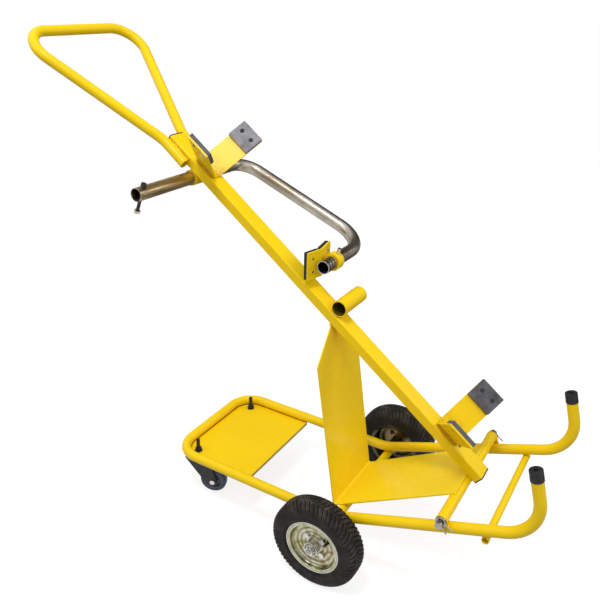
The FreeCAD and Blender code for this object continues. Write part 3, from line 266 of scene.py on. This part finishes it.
def chrome():
    """Worn chrome, with dark streaks that are partly wear and partly painted dark reflections, a painted gold
    reflection of the yellow paint on the leg by the handle, and stepped rings near the other leg's cut end.
    """
    s = Shader("worn_chrome_painted_reflections")
    haze = s.noise(9.0, 3.0, 0.6)
    tint = s.ramp(haze, (0.30, (0.34, 0.295, 0.235)), (0.52, (0.46, 0.425, 0.370)),
                  (0.75, (0.58, 0.56, 0.52)))
    # Streaks darkened toward brown: partly wear, partly painted dark reflections.
    wear_and_dark_reflections = s.span(s.noise(34.0, 5.0, 0.6, stretch=(0.7, 0.7, 1.4)), 0.45, 0.75, 0.0, 0.6)
    base = s.mix(wear_and_dark_reflections, tint, (0.20, 0.165, 0.12))
    tube_radius, bracket_leg, rings_end, ring_pitch = 0.018, AXLE.x - 0.20, 0.024, 0.0115
    # Painted reflection of the yellow paint on the near leg by the sleeve: gold, banded with dark brown along
    # the leg.
    aside = s.maths("ABSOLUTE", s.maths("SUBTRACT", s.along(0), ARM_LEG.x))
    handle_leg = s.maths("MULTIPLY", s.maths("LESS_THAN", aside, tube_radius),
                         s.maths("LESS_THAN", s.along(1), 0.0))
    reflection_banding = s.span(s.noise(90.0, 5.0, 0.7, stretch=(1.0, 0.10, 1.0)), 0.42, 0.62)
    gold_reflection = s.mix(reflection_banding, (0.66, 0.52, 0.30), (0.13, 0.092, 0.045))
    base = s.mix(s.maths("MULTIPLY", handle_leg, 0.75), base, gold_reflection)
    on_leg = s.maths("GREATER_THAN", s.along(0), bracket_leg)
    near_end = s.maths("MULTIPLY", on_leg, s.maths("LESS_THAN", s.along(1), rings_end))
    wave = s.maths("SINE", s.maths("MULTIPLY", s.along(1), 2 * math.pi / ring_pitch))
    rings = s.maths("MULTIPLY", near_end, s.span(wave, -0.1, 0.5, 0.0, 0.85))
    s.colour(s.mix(rings, base, (0.05, 0.042, 0.036)))
    s.roughness(s.span(s.noise(14.0, 2.0), 0.3, 0.75, 0.30, 0.38))
    s.put(Metallic=1.0)
    return s.material


def bright_steel(name="zinc_plated_steel", shade=1.0, shade_within=None):
    """Zinc-plated steel; what lies nearer the middle than a given distance is darkened toward dark brown:
    painted shade.
    """
    s = Shader(name)
    base = s.ramp(s.noise(90.0, 4.0), (0.3, times((0.52, 0.50, 0.47), shade)),
                  (0.7, times((0.76, 0.74, 0.71), shade)))
    if shade_within:
        inside = s.maths("LESS_THAN", s.maths("ABSOLUTE", s.along(1)), shade_within)
        base = s.mix(s.maths("MULTIPLY", inside, 0.95), base, (0.17, 0.115, 0.040))
    s.colour(base)
    s.roughness(s.span(s.noise(300.0, 3.0), 0.3, 0.7, 0.20, 0.38))
    s.put(Metallic=1.0)
    s.bump(s.noise(900.0, 2.0), 0.0002, 0.2)
    return s.material


def zinc_rim(name="yellow_zinc", shade=1.0, dark=0.55):
    """Yellow passivated zinc: gold, olive and rose clouds over pressed steel, in turned bands."""
    s = Shader(name)
    stops = ((0.25, (0.12, 0.14, 0.060)), (0.42, (0.38, 0.34, 0.13)), (0.55, (0.60, 0.60, 0.48)),
             (0.68, (0.34, 0.21, 0.11)), (0.80, (0.22, 0.23, 0.10)))
    base = s.ramp(s.noise(21.0, 4.0, 0.6, distortion=1.4),
                  *((position, times(colour, shade)) for position, colour in stops))
    band_pitch, edge_from, edge_to = 0.0105, 0.053, 0.060
    x = s.maths("SUBTRACT", s.along(0), AXLE.x)
    z = s.maths("SUBTRACT", s.along(2), AXLE.z)
    radius = s.maths("SQRT", s.squares(x, z))
    wave = s.maths("SINE", s.maths("MULTIPLY", radius, 2 * math.pi / band_pitch))
    base = s.mix(s.span(wave, -0.3, 0.6, 0.0, dark), base, (0.07, 0.062, 0.03))
    edge = s.span(radius, edge_from, edge_to, 0.0, 0.50)
    base = s.mix(edge, base, times((0.46, 0.48, 0.38), shade))
    spots = s.ramp(s.noise(55.0, 3.0), (0.35, (0.45, 0.42, 0.25)), (0.65, (0.95, 0.93, 0.85)))
    base = s.mix(0.4, base, spots, "MULTIPLY")
    # Faces turned toward the other wheel are darkened toward dark brown: painted shade.
    facing = s.apart(s.node("ShaderNodeTexCoord").outputs["Normal"], 1)
    inward = s.maths("LESS_THAN", s.maths("MULTIPLY", facing, s.maths("SIGN", s.along(1))), -0.15)
    s.colour(s.mix(s.maths("MULTIPLY", inward, 0.65), base, (0.055, 0.042, 0.018)))
    s.roughness(s.span(s.noise(70.0, 3.0), 0.3, 0.7, 0.16, 0.30))
    s.put(Metallic=1.0)
    s.bump(s.noise(130.0, 3.0), 0.0005, 0.25)
    return s.material


def tyre_rubber(name="tyre_rubber", dark=(0.0085, 0.0078, 0.0072), dusty=(0.050, 0.041, 0.033)):
    s = Shader(name)
    dust = s.span(s.noise(28.0, 6.0, 0.65), 0.46, 0.78)
    base = s.mix(s.maths("MULTIPLY", dust, 0.8), dark, dusty)
    grain = s.noise(600.0, 4.0, 0.7)
    s.colour(s.mix(s.span(grain, 0.5, 0.8, 0.0, 0.35), base, times(dusty, 1.7)))
    s.roughness(s.span(s.noise(90.0, 3.0), 0.3, 0.7, 0.45, 0.70))
    s.put(Specular_IOR_Level=0.16)
    s.bump(grain, 0.0005, 0.35)
    return s.material


def pad_rubber(name, dark, light):
    s = Shader(name)
    base = s.ramp(s.noise(38.0, 5.0, 0.65), (0.30, dark), (0.72, light))
    marks = s.span(s.noise(21.0, 4.0, 0.7, distortion=1.5), 0.60, 0.68)
    s.colour(s.mix(s.maths("MULTIPLY", marks, 0.35), base, times(dark, 0.45)))
    s.roughness(s.span(s.noise(200.0, 3.0), 0.3, 0.7, 0.55, 0.75))
    s.put(Specular_IOR_Level=0.25)
    s.bump(s.noise(500.0, 4.0, 0.7), 0.0006, 0.4)
    return s.material


def black_steel(threads_above):
    """Blackened steel; the casters' stems are threaded above a height."""
    s = Shader("black_steel")
    tint = (0.022, 0.022, 0.024)
    s.colour(s.ramp(s.noise(80.0, 4.0), (0.3, times(tint, 0.55)), (0.75, times(tint, 1.9))))
    s.roughness(s.span(s.noise(200.0, 3.0), 0.3, 0.7, 0.30, 0.46))
    s.put(Specular_IOR_Level=0.35)
    z, thread_pitch = s.along(2), 0.0015
    wave = s.maths("SINE", s.maths("MULTIPLY", z, 2 * math.pi / thread_pitch))
    threads = s.maths("MULTIPLY", s.maths("GREATER_THAN", z, threads_above), wave)
    height = s.maths("ADD", threads, s.maths("MULTIPLY", s.noise(600.0, 3.0), 0.2))
    s.bump(height, 0.0004, 0.6)
    return s.material


# The height where the stems' threads begin, and how far out each hub's outer flange begins
THREADS_ABOVE = middle("platform_deck").z + 0.004
HUB_FLANGE = abs(middle("near_tyre").y) + 0.0105

YELLOW = painted_yellow()
# A paler copy of the yellow for the gusset: painted light.
GUSSET = painted_yellow("gusset_powder_coat", pale=0.05)
# Painted shade: near black inside the stub, brown along the deck's seam and lip and in the cradles' folds.
STUB = painted_yellow("stub_powder_coat", stub_inside_shade, (0.050, 0.036, 0.004))
DECK = painted_yellow("deck_powder_coat", deck_edge_shade, (0.30, 0.155, 0.006))
CRADLE = painted_yellow("cradle_powder_coat", fold_shade, (0.34, 0.17, 0.008))
WELD = plain_finish("painted_weld", (220.0, 3.0),
                    ((0.35, (0.42, 0.23, 0.004)), (0.7, (0.80, 0.50, 0.006))),
                    (400.0, 3.0, 0.28, 0.45), (700.0, 3.0, 0.0006, 0.4))
CHROME = chrome()
STEEL = bright_steel()
DULL_STEEL = bright_steel("dull_steel", 0.5)
# Hubs and rim bolts: a slightly darker copy of the steel, with painted shade on their parts nearer the middle
# than the hub's outer flange.
WHEEL_STEEL = bright_steel("wheel_steel", 0.85, HUB_FLANGE)
RIM = zinc_rim()
# The rims' inner halves take a much darker copy of the zinc with deeper bands: painted shade.
INNER_RIM = zinc_rim("yellow_zinc_inside", 0.32, 0.9)
TYRE = tyre_rubber()
BLOCKS = tyre_rubber("tread_blocks", (0.014, 0.012, 0.011), (0.070, 0.056, 0.044))
# Groove floors are near black: painted shade. The groove walls are paler.
GROOVE_SHADE = tyre_rubber("tread_grooves", (0.0030, 0.0028, 0.0026), (0.008, 0.007, 0.006))
PALE_EDGE = tyre_rubber("tread_edges", (0.012, 0.010, 0.009), (0.20, 0.165, 0.125))
RUBBER = plain_finish("black_cap_rubber", (120.0, 4.0),
                      ((0.3, (0.010, 0.010, 0.011)), (0.75, (0.035, 0.034, 0.034))),
                      (250.0, 3.0, 0.34, 0.52), (800.0, 3.0, 0.0003, 0.3), specular=0.22)
# The upper far pad takes a lighter copy of the pad rubber, painted light; the other pads take a darker copy,
# painted shade.
LIT_PAD = pad_rubber("lit_pad_rubber", (0.17, 0.165, 0.185), (0.36, 0.355, 0.385))
SHADED_PAD = pad_rubber("shaded_pad_rubber", (0.060, 0.058, 0.064), (0.155, 0.150, 0.165))
BLACK = black_steel(THREADS_ABOVE)
NAVY = plain_finish("caster_rubber", (70.0, 4.0),
                    ((0.3, (0.014, 0.024, 0.070)), (0.72, (0.045, 0.065, 0.150))),
                    (180.0, 3.0, 0.38, 0.55), (700.0, 3.0, 0.0003, 0.3))
PLASTIC = plain_finish("caster_hub_plastic", (60.0, 4.0),
                       ((0.3, (0.055, 0.065, 0.085)), (0.72, (0.12, 0.13, 0.15))),
                       (220.0, 3.0, 0.35, 0.5), (900.0, 2.0, 0.0002, 0.3))
CAP = plain_finish("beam_cap_plastic", (90.0, 3.0),
                   ((0.3, (0.012, 0.010, 0.008)), (0.75, (0.05, 0.035, 0.018))),
                   (200.0, 3.0, 0.40, 0.6), (500.0, 3.0, 0.0003, 0.3))

FINISHES = {
    YELLOW: ("near_rail", "far_rail", "platform_tube", "brace_tube", "axle_tube", "near_pivot_lug",
             "far_pivot_lug", "pivot_tube", "beam", "handle_loop", "arm_sleeve", "pad_collar",
             "pad_bracket"),
    GUSSET: ("gusset_plate",),
    STUB: ("stub_tube",),
    DECK: ("platform_deck",),
    CRADLE: ("upper_cradle", "lower_cradle"),
    CHROME: ("clamp_arm",),
    STEEL: ("axle_nuts", "set_screw", "near_caster_axle", "far_caster_axle", "stop_nut"),
    WHEEL_STEEL: ("near_rim_bolts", "far_rim_bolts", "near_hub", "far_hub"),
    DULL_STEEL: ("axle_rod", "pivot_pin", "near_spring_clip", "far_spring_clip", "pivot_washers"),
    RIM: ("near_rim_outer", "far_rim_outer"),
    INNER_RIM: ("near_rim_inner", "far_rim_inner"),
    TYRE: ("near_tyre", "far_tyre"),
    RUBBER: ("near_prong_cap", "far_prong_cap", "near_bracket_rubber", "far_bracket_rubber"),
    LIT_PAD: ("upper_far_pad",),
    SHADED_PAD: ("lower_far_pad", "upper_near_pad", "lower_near_pad"),
    BLACK: ("caster_heads", "caster_stem_nuts", "near_caster_fork", "far_caster_fork",
            "stop_screw", "pad_screws", "bracket_screws"),
    NAVY: ("near_caster_tread", "far_caster_tread"),
    PLASTIC: ("near_caster_hub", "far_caster_hub"),
    CAP: ("lower_beam_cap", "upper_beam_cap"),
}
for material, names in FINISHES.items():
    for name in names:
        NODES[name].data.materials.clear()
        NODES[name].data.materials.append(material)


# Meshes in code

def new_piece(name, vertices, faces, material, body):
    mesh = bpy.data.meshes.new(name)
    mesh.from_pydata([tuple(v) for v in vertices], [], faces)
    mesh.update()
    mesh.polygons.foreach_set("use_smooth", [True] * len(mesh.polygons))
    mesh.materials.append(material)
    piece = bpy.data.objects.new(name, mesh)
    bpy.context.scene.collection.objects.link(piece)
    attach(piece, body)
    return piece


def grid_faces(rows, columns, close_rows, close_columns):
    """Quads over a grid of points stored row after row."""
    faces = []
    for i in range(rows if close_rows else rows - 1):
        for j in range(columns if close_columns else columns - 1):
            a, b = i * columns + j, i * columns + (j + 1) % columns
            c, d = ((i + 1) % rows) * columns + (j + 1) % columns, ((i + 1) % rows) * columns + j
            faces.append((a, b, c, d))
    return faces


def turned(name, centre, axis, profile, material, body, steps, closed=True):
    """A profile of (radius, height) points turned about an axis: closed for a ring, else open."""
    axis = axis.normalized()
    first = axis.orthogonal().normalized()
    second = axis.cross(first)
    vertices = []
    for i in range(steps):
        turn = 2 * math.pi * i / steps
        way = first * math.cos(turn) + second * math.sin(turn)
        vertices += [centre + way * radius + axis * height for radius, height in profile]
    return new_piece(name, vertices, grid_faces(steps, len(profile), True, closed), material, body)


WELD_PITCH = 0.0032
WELD_SIDES = 8
WELD_REACH = 0.0215


def bead(name, path, radius):
    """A rippled weld on the cradle, laid along a path of points."""
    lengths = [0.0]
    for a, b in zip(path, path[1:]):
        lengths.append(lengths[-1] + (b - a).length)
    count = max(6, int(lengths[-1] / (WELD_PITCH / 5)))
    vertices = []
    for i in range(count + 1):
        run = lengths[-1] * i / count
        k = max(j for j in range(len(path) - 1) if lengths[j] <= run + 1e-9)
        share = (run - lengths[k]) / max(lengths[k + 1] - lengths[k], 1e-9)
        point = path[k].lerp(path[k + 1], share)
        way = (path[k + 1] - path[k]).normalized()
        side = way.orthogonal().normalized()
        up = way.cross(side)
        ripple = 0.80 + 0.20 * abs(math.sin(math.pi * run / WELD_PITCH))
        uneven = 1 + 0.10 * math.sin(run * 731.0 + radius * 9000.0)
        swell = radius * ripple * uneven
        if i in (0, count):
            swell *= 0.3
        for j in range(WELD_SIDES):
            turn = 2 * math.pi * j / WELD_SIDES
            vertices.append(point + (side * math.cos(turn) + up * math.sin(turn)) * swell)
    return new_piece(name, vertices, grid_faces(count + 1, WELD_SIDES, False, True), WELD, "cradle")


# Tyres with a moulded tread, standing for the smooth CAD tyres

CROWN_RADIUS = 0.1099
TREAD_PITCHES, TREAD_STEPS = 60, 10
TREAD_DEPTH = 0.0028
TREAD_FROM, TREAD_FADE = 0.0935, 0.004
SHOULDER = 0.0068
# Gaps as shares of a pitch, their slant in pitches to a metre, and how steep the cuts' walls are
LUG_GAP, LUG_SLANT = 0.42, 46.0
SIPE_GAP, SIPE_SLANT = 0.24, 60.0
WALL_SLOPE = 4.0
# How deep a face has to lie to take the grooves' painted shade, and the paler edge colour
GROOVE_CUT, EDGE_CUT = 0.45, 0.06


def tyre_profile():
    """Half a tyre's outline from bead to crown, as points of radius and height off the wheel's plane."""
    points = [(0.0665, 0.0245), (0.0680, 0.0268), (0.0700, 0.0285), (0.0740, 0.0292), (0.0752, 0.0298),
              (0.0768, 0.0298), (0.0780, 0.0293), (0.0820, 0.0294), (0.0860, 0.0295), (0.0900, 0.0295)]
    centre_radius, centre_height, corner, steps = 0.0940, 0.0142, 0.0154, 18
    for i in range(1, steps + 1):
        turn = math.radians(90 * i / steps)
        points.append((centre_radius + corner * math.sin(turn), centre_height + corner * math.cos(turn)))
    for height in (0.0118, 0.0094, 0.0070, 0.0052, 0.0035, 0.0018):
        rise = 0.0004 * (1 - (height / centre_height) ** 2)
        points.append((centre_radius + corner + rise, height))
    return points


def groove_depth(phase, height):
    """How deep the tread is cut, 0 to 1: phase counts the blocks round the tyre, height is signed."""
    side = 1 if height >= 0 else -1
    zigzag = abs((phase % 1.0) - 0.5) * 2
    depth = 0.0
    for line, width, swing in ((SHOULDER, 0.0013, 0.0016), (0.0, 0.0011, -0.0016)):
        offset = abs(height - side * line - swing * (zigzag - 0.5))
        depth = max(depth, 1.0 - offset / width)
    reach = abs(height)
    if reach > SHOULDER:
        slant = phase + side * 0.25 + (reach - SHOULDER) * LUG_SLANT
        lug = abs((slant % 1.0) - 0.5) * 2
        depth = max(depth, (LUG_GAP - lug) * WALL_SLOPE)
    else:
        sipe = abs(((phase + height * SIPE_SLANT) % 1.0) - 0.5) * 2
        depth = max(depth, (SIPE_GAP - sipe) * WALL_SLOPE)
    return min(max(depth, 0.0), 1.0)


def rubber_of(cuts):
    """The material of a face from its corners' cuts: 0 sidewall, 1 block, 2 groove in painted shade, 3 paler
    edge.
    """
    if min(cuts) < 0:
        return 0
    mean = sum(cuts) / 4
    return 2 if mean > GROOVE_CUT else 3 if mean > EDGE_CUT else 1


def make_tyre(prefix):
    half = tyre_profile()
    outline = half + [(CROWN_RADIUS, 0.0)] + [(radius, -height) for radius, height in reversed(half)]
    inner = [(0.0655, -0.0240), (0.0655, 0.0240)]
    rows, columns = TREAD_STEPS * TREAD_PITCHES, len(outline)
    last = columns - 1
    centre = middle(f"{prefix}_tyre")

    def point(turn, radius, height):
        return centre + Vector((radius * math.cos(turn), height, radius * math.sin(turn)))

    turns = [2 * math.pi * i / rows for i in range(rows)]
    vertices, cuts = [], []
    for i, turn in enumerate(turns):
        for radius, height in outline:
            cut = -1.0
            if radius > TREAD_FROM:
                fade = min(1.0, (radius - TREAD_FROM) / TREAD_FADE)
                cut = fade * groove_depth(i / TREAD_STEPS, height)
            cuts.append(cut)
            vertices.append(point(turn, radius - TREAD_DEPTH * max(cut, 0.0), height))
    faces = grid_faces(rows, columns, True, False)
    rubber = [rubber_of([cuts[k] for k in face]) for face in faces]
    base = len(vertices)
    for turn in turns:
        vertices += [point(turn, radius, height) for radius, height in inner]
    for i in range(rows):
        k = (i + 1) % rows
        a, b = base + 2 * i, base + 2 * k
        faces.append((i * columns + last, k * columns + last, b, a))
        faces.append((a, b, b + 1, a + 1))
        faces.append((a + 1, b + 1, k * columns, i * columns))
    rubber += [0] * (len(faces) - len(rubber))
    piece = new_piece(f"{prefix}_tyre_tread", vertices, faces, TYRE, f"{prefix}_wheel")
    for material in (BLOCKS, GROOVE_SHADE, PALE_EDGE):
        piece.data.materials.append(material)
    piece.data.polygons.foreach_set("material_index", rubber)
    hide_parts(f"{prefix}_tyre")


def make_wheel_details(prefix, side):
    """Rolled rim edges, the seals of the hub's bearings, and a tyre valve."""
    centre = middle(f"{prefix}_tyre")
    outward = ACROSS * side
    body = f"{prefix}_wheel"
    edge_radius, edge_height, roll, sides = 0.0665, 0.0262, 0.0013, 10
    for name, way, finish in (("outer", 1, STEEL), ("inner", -1, INNER_RIM)):
        ring = [(edge_radius + roll * math.cos(turn), way * edge_height + roll * math.sin(turn))
                for turn in (2 * math.pi * k / sides for k in range(sides))]
        turned(f"{prefix}_rim_edge_{name}", centre, outward, ring, finish, body, steps=120)
    for name, way in (("outer", 1), ("inner", -1)):
        hub_face, bore, rim = 0.033 * way, 0.0120, 0.0146
        proud, deep = hub_face + 0.0001 * way, hub_face - 0.0015 * way
        seal = [(bore, proud), (bore, deep), (rim, deep), (rim, proud)]
        turned(f"{prefix}_bearing_{name}", centre, outward, seal, BLACK, body, steps=48)
    valve_turn, valve_radius = 0.6, 0.042
    way = Vector((math.cos(valve_turn), 0, math.sin(valve_turn)))
    stem = centre + way * valve_radius + outward * 0.014
    tilt = (outward - way * 0.25).normalized()
    profile = [(0.0, 0.0), (0.0042, 0.0), (0.0042, 0.003), (0.0030, 0.005), (0.0030, 0.008),
               (0.0036, 0.0085), (0.0036, 0.0125), (0.0028, 0.0135), (0.0, 0.0135)]
    turned(f"{prefix}_valve", stem, tilt, profile, RUBBER, body, steps=20, closed=False)


# Ribbed rubber caps on the prongs

def make_cap(prefix):
    low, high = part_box(f"{prefix}_prong_cap")
    lean = math.radians(15.5)
    axis = Vector((-math.sin(lean), 0, math.cos(lean)))
    radius, length, ribs, rib_depth = 0.01355, 0.024, 26, 0.00055
    foot = (low + high) / 2 - axis * (length / 2)
    # height up the cap, distance in from its wall, and whether the ribs reach there
    rows = ((0.0, 0.0006, 0), (0.0006, 0.0, 0), (0.0030, 0.0, 0), (0.0034, 0.0, 1), (0.0200, 0.0, 1),
            (0.0206, 0.0, 0), (0.0230, 0.0001, 0), (0.0237, 0.0006, 0), (0.0240, 0.0016, 0),
            (0.0240, 0.0042, 0), (0.0233, 0.0050, 0), (0.0233, 0.0095, 0))
    steps, count = ribs * 6, len(rows)
    first, second = ACROSS.copy(), axis.cross(ACROSS)
    vertices = []
    for i in range(steps):
        turn = 2 * math.pi * i / steps
        way = first * math.cos(turn) + second * math.sin(turn)
        notch = rib_depth * max(0.0, math.cos(ribs * turn)) ** 2
        for height, inset, ribbed in rows:
            vertices.append(foot + axis * height + way * (radius - inset - ribbed * notch))
    faces = grid_faces(steps, count, True, False)
    top, bottom = len(vertices), len(vertices) + 1
    vertices += [foot + axis * rows[-1][0], foot]
    for i in range(steps):
        k = (i + 1) % steps
        faces.append((i * count + count - 1, k * count + count - 1, top))
        faces.append((k * count, i * count, bottom))
    piece = new_piece(f"{prefix}_ribbed_cap", vertices, faces, RUBBER, "chassis")
    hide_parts(f"{prefix}_prong_cap")


for prefix, side in SIDES:
    make_tyre(prefix)
    make_wheel_details(prefix, side)
    make_cap(prefix)


# Welds of the cradle

for way, word in ((-1, "low"), (1, "high")):
    for name, station, aside, y, out, radius in (
            ("stub", STUB_STATION, 0.0090, -0.0190, 0.0020, 0.0028),
            ("sleeve", SLEEVE_STATION, 0.0090, -0.0195, -0.0270, 0.0028),
            ("pivot", PIVOT_STATION, 0.0072, -WELD_REACH, -0.0266, 0.0024)):
        up = station + way * aside
        bead(f"{name}_weld_{word}", [on_beam(up, y, out), on_beam(up, WELD_REACH, out)], radius)
    for name, station in (("upper", UPPER_CRADLE_STATION), ("lower", LOWER_CRADLE_STATION)):
        bead(f"{name}_cradle_weld_{word}", [on_beam(station + 0.002, way * 0.0130, 0.0012),
                                            on_beam(station + 0.062, way * 0.0130, 0.0012)], 0.0022)
    for name, out in (("top", -0.0085), ("under", -0.0245)):
        bead(f"handle_weld_{name}_{word}", [on_beam(HANDLE_FOOT, way * 0.0245, out),
                                            on_beam(BEAM_END, way * 0.0245, out)], 0.0024)
bead("stub_end_weld", [on_beam(STUB_STATION - 0.0110, -0.0192, 0.0024),
                       on_beam(STUB_STATION, -0.0196, 0.0004),
                       on_beam(STUB_STATION + 0.0110, -0.0192, 0.0024)], 0.0022)
bead("web_weld", [on_web(0.0008, -WELD_REACH, WEB_TOP), on_web(0.0008, WELD_REACH, WEB_TOP)], 0.0026)


# A screw's end on the outer face of each cradle's near wing

for name, station, reach in (("upper", SLEEVE_STATION, 0.0863), ("lower", 0.0870, 0.0290)):
    axis = (BEAM_OUT + ACROSS).normalized()
    face = min(axis.dot(v.co) for v in NODES[f"{name}_cradle"].data.vertices if v.co.y < -0.05)
    centre = on_beam(station, -reach, reach)
    foot = centre + axis * (face - axis.dot(centre))
    profile = [(0.0, 0.0005), (0.0034, 0.0005), (0.0034, -0.0006), (0.0027, -0.0012), (0.0, -0.0014)]
    turned(f"{name}_screw_end", foot, axis, profile, BLACK, "cradle", steps=20, closed=False)


# Floor, light and camera

def seen_directly(tree):
    """1 for camera, glossy and transmission rays, and 0 for the rest."""
    path = tree.nodes.new("ShaderNodeLightPath")
    seen = path.outputs["Is Camera Ray"]
    for kind in ("Is Glossy Ray", "Is Transmission Ray"):
        larger = tree.nodes.new("ShaderNodeMath")
        larger.operation = "MAXIMUM"
        tree.links.new(seen, larger.inputs[0])
        tree.links.new(path.outputs[kind], larger.inputs[1])
        seen = larger.outputs[0]
    return seen


def make_floor():
    """A pale matt floor that also glows where it is seen, so that it looks white and keeps a shadow."""
    mesh = bpy.data.meshes.new("floor")
    reach = 60.0
    corners = [(a * reach, b * reach, 0) for a, b in ((-1, -1), (1, -1), (1, 1), (-1, 1))]
    mesh.from_pydata(corners, [], [(0, 1, 2, 3)])
    floor = bpy.data.objects.new("floor", mesh)
    bpy.context.scene.collection.objects.link(floor)
    s = Shader("floor_white")
    s.nodes.remove(s.bsdf)
    matt = s.node("ShaderNodeBsdfDiffuse")
    matt.inputs["Color"].default_value = (0.30, 0.30, 0.30, 1)
    glow = s.node("ShaderNodeEmission")
    s.link(s.maths("MULTIPLY", seen_directly(s.tree), 0.80), glow.inputs["Strength"])
    both = s.node("ShaderNodeAddShader")
    s.link(matt.outputs[0], both.inputs[0])
    s.link(glow.outputs[0], both.inputs[1])
    s.link(both.outputs[0], s.nodes["Material Output"].inputs["Surface"])
    mesh.materials.append(s.material)


def make_world():
    """An even white world: 1 where it is seen, lower where it lights."""
    world = bpy.data.worlds.new("studio")
    bpy.context.scene.world = world
    world.use_nodes = True
    tree = world.node_tree
    background = tree.nodes["Background"]
    background.inputs["Color"].default_value = (1, 1, 1, 1)
    level = tree.nodes.new("ShaderNodeMapRange")
    level.inputs["To Min"].default_value = 0.66
    level.inputs["To Max"].default_value = 1.0
    tree.links.new(seen_directly(tree), level.inputs["Value"])
    tree.links.new(level.outputs[0], background.inputs["Strength"])


def area_lamp(name, place, size, power):
    lamp = bpy.data.lights.new(name, "AREA")
    lamp.shape = "DISK"
    lamp.size = size
    lamp.energy = power
    holder = bpy.data.objects.new(name, lamp)
    holder.location = place
    holder.rotation_euler = (LAMP_TARGET - place).to_track_quat("-Z", "Y").to_euler()
    bpy.context.scene.collection.objects.link(holder)


def dark_card(name, place, target, width, height):
    """A dark card beside the set, which only polished surfaces see: it paints dark reflections."""
    place = Vector(place)
    back = (place - Vector(target)).normalized()
    side = Vector((0, 0, 1)).cross(back).normalized() if abs(back.z) < 0.99 else Vector((1, 0, 0))
    up = back.cross(side)
    corners = [place + side * (a * width / 2) + up * (b * height / 2)
               for a, b in ((-1, -1), (1, -1), (1, 1), (-1, 1))]
    mesh = bpy.data.meshes.new(name)
    mesh.from_pydata([tuple(c) for c in corners], [], [(0, 1, 2, 3)])
    s = Shader(f"{name}_painted_reflection")
    s.colour(s.ramp(s.noise(4.0), (0.3, (0.10, 0.085, 0.065)), (0.7, (0.16, 0.14, 0.11))))
    s.roughness(s.span(s.noise(8.0), 0.3, 0.7, 0.8, 0.95))
    mesh.materials.append(s.material)
    card = bpy.data.objects.new(name, mesh)
    bpy.context.scene.collection.objects.link(card)
    card.visible_camera = False
    card.visible_diffuse = False
    card.visible_shadow = False
    card.visible_transmission = False


def make_camera():
    """The photograph's camera, found from the straight edges and round ends of the object."""
    turn, rise, roll = math.radians(31.08), math.radians(24.53), math.radians(1.05)
    photo_width, focal_pixels, sensor = 600, 669.41, 36.0
    back = Vector((math.sin(turn) * math.cos(rise), -math.cos(turn) * math.cos(rise), math.sin(rise)))
    level = Vector((math.cos(turn), math.sin(turn), 0))
    above = back.cross(level)
    right = level * math.cos(roll) + above * math.sin(roll)
    up = above * math.cos(roll) - level * math.sin(roll)
    camera = bpy.data.objects.new("camera", bpy.data.cameras.new("camera"))
    camera.data.sensor_width = sensor
    camera.data.lens = sensor * focal_pixels / photo_width
    camera.data.clip_start = 0.05
    camera.data.clip_end = 200.0
    place = Vector((AXLE.x + 0.5578, -1.2425, 1.2443))
    camera.matrix_world = Matrix.Translation(place) @ Matrix((right, up, back)).transposed().to_4x4()
    bpy.context.scene.collection.objects.link(camera)
    bpy.context.scene.camera = camera


LAMP_TARGET = Vector((0.0, 0.0, 0.5))
LAMP_DISTANCE = 3.2
make_floor()
make_world()
make_camera()
area_lamp("key", Vector((0.18, -1.16, 3.23)), 0.6, 34)
for name, way, power in (("left_lamp", (-0.8, -0.9, 1.2), 10), ("right_lamp", (1.0, -0.2, 0.8), 7),
                         ("back_lamp", (0.9, 0.8, 0.6), 14)):
    area_lamp(name, LAMP_TARGET + Vector(way).normalized() * LAMP_DISTANCE, 1.4, power)
# Dark cards that only polished surfaces see: painted dark reflections.
dark_card("card_back", (0.2, 2.6, 2.2), (0.0, 0.0, 1.0), 7.0, 4.0)
dark_card("card_low", (0.5, 1.9, 0.002), (0.5, 1.9, 1.0), 4.4, 2.8)
dark_card("card_left", (-2.4, -1.2, 0.5), (0.0, 0.0, 0.8), 1.6, 1.8)
dark_card("card_right", (2.6, 0.6, 1.2), (0.0, 0.0, 0.8), 1.4, 2.4)
bpy.context.scene.view_settings.view_transform = "Standard"
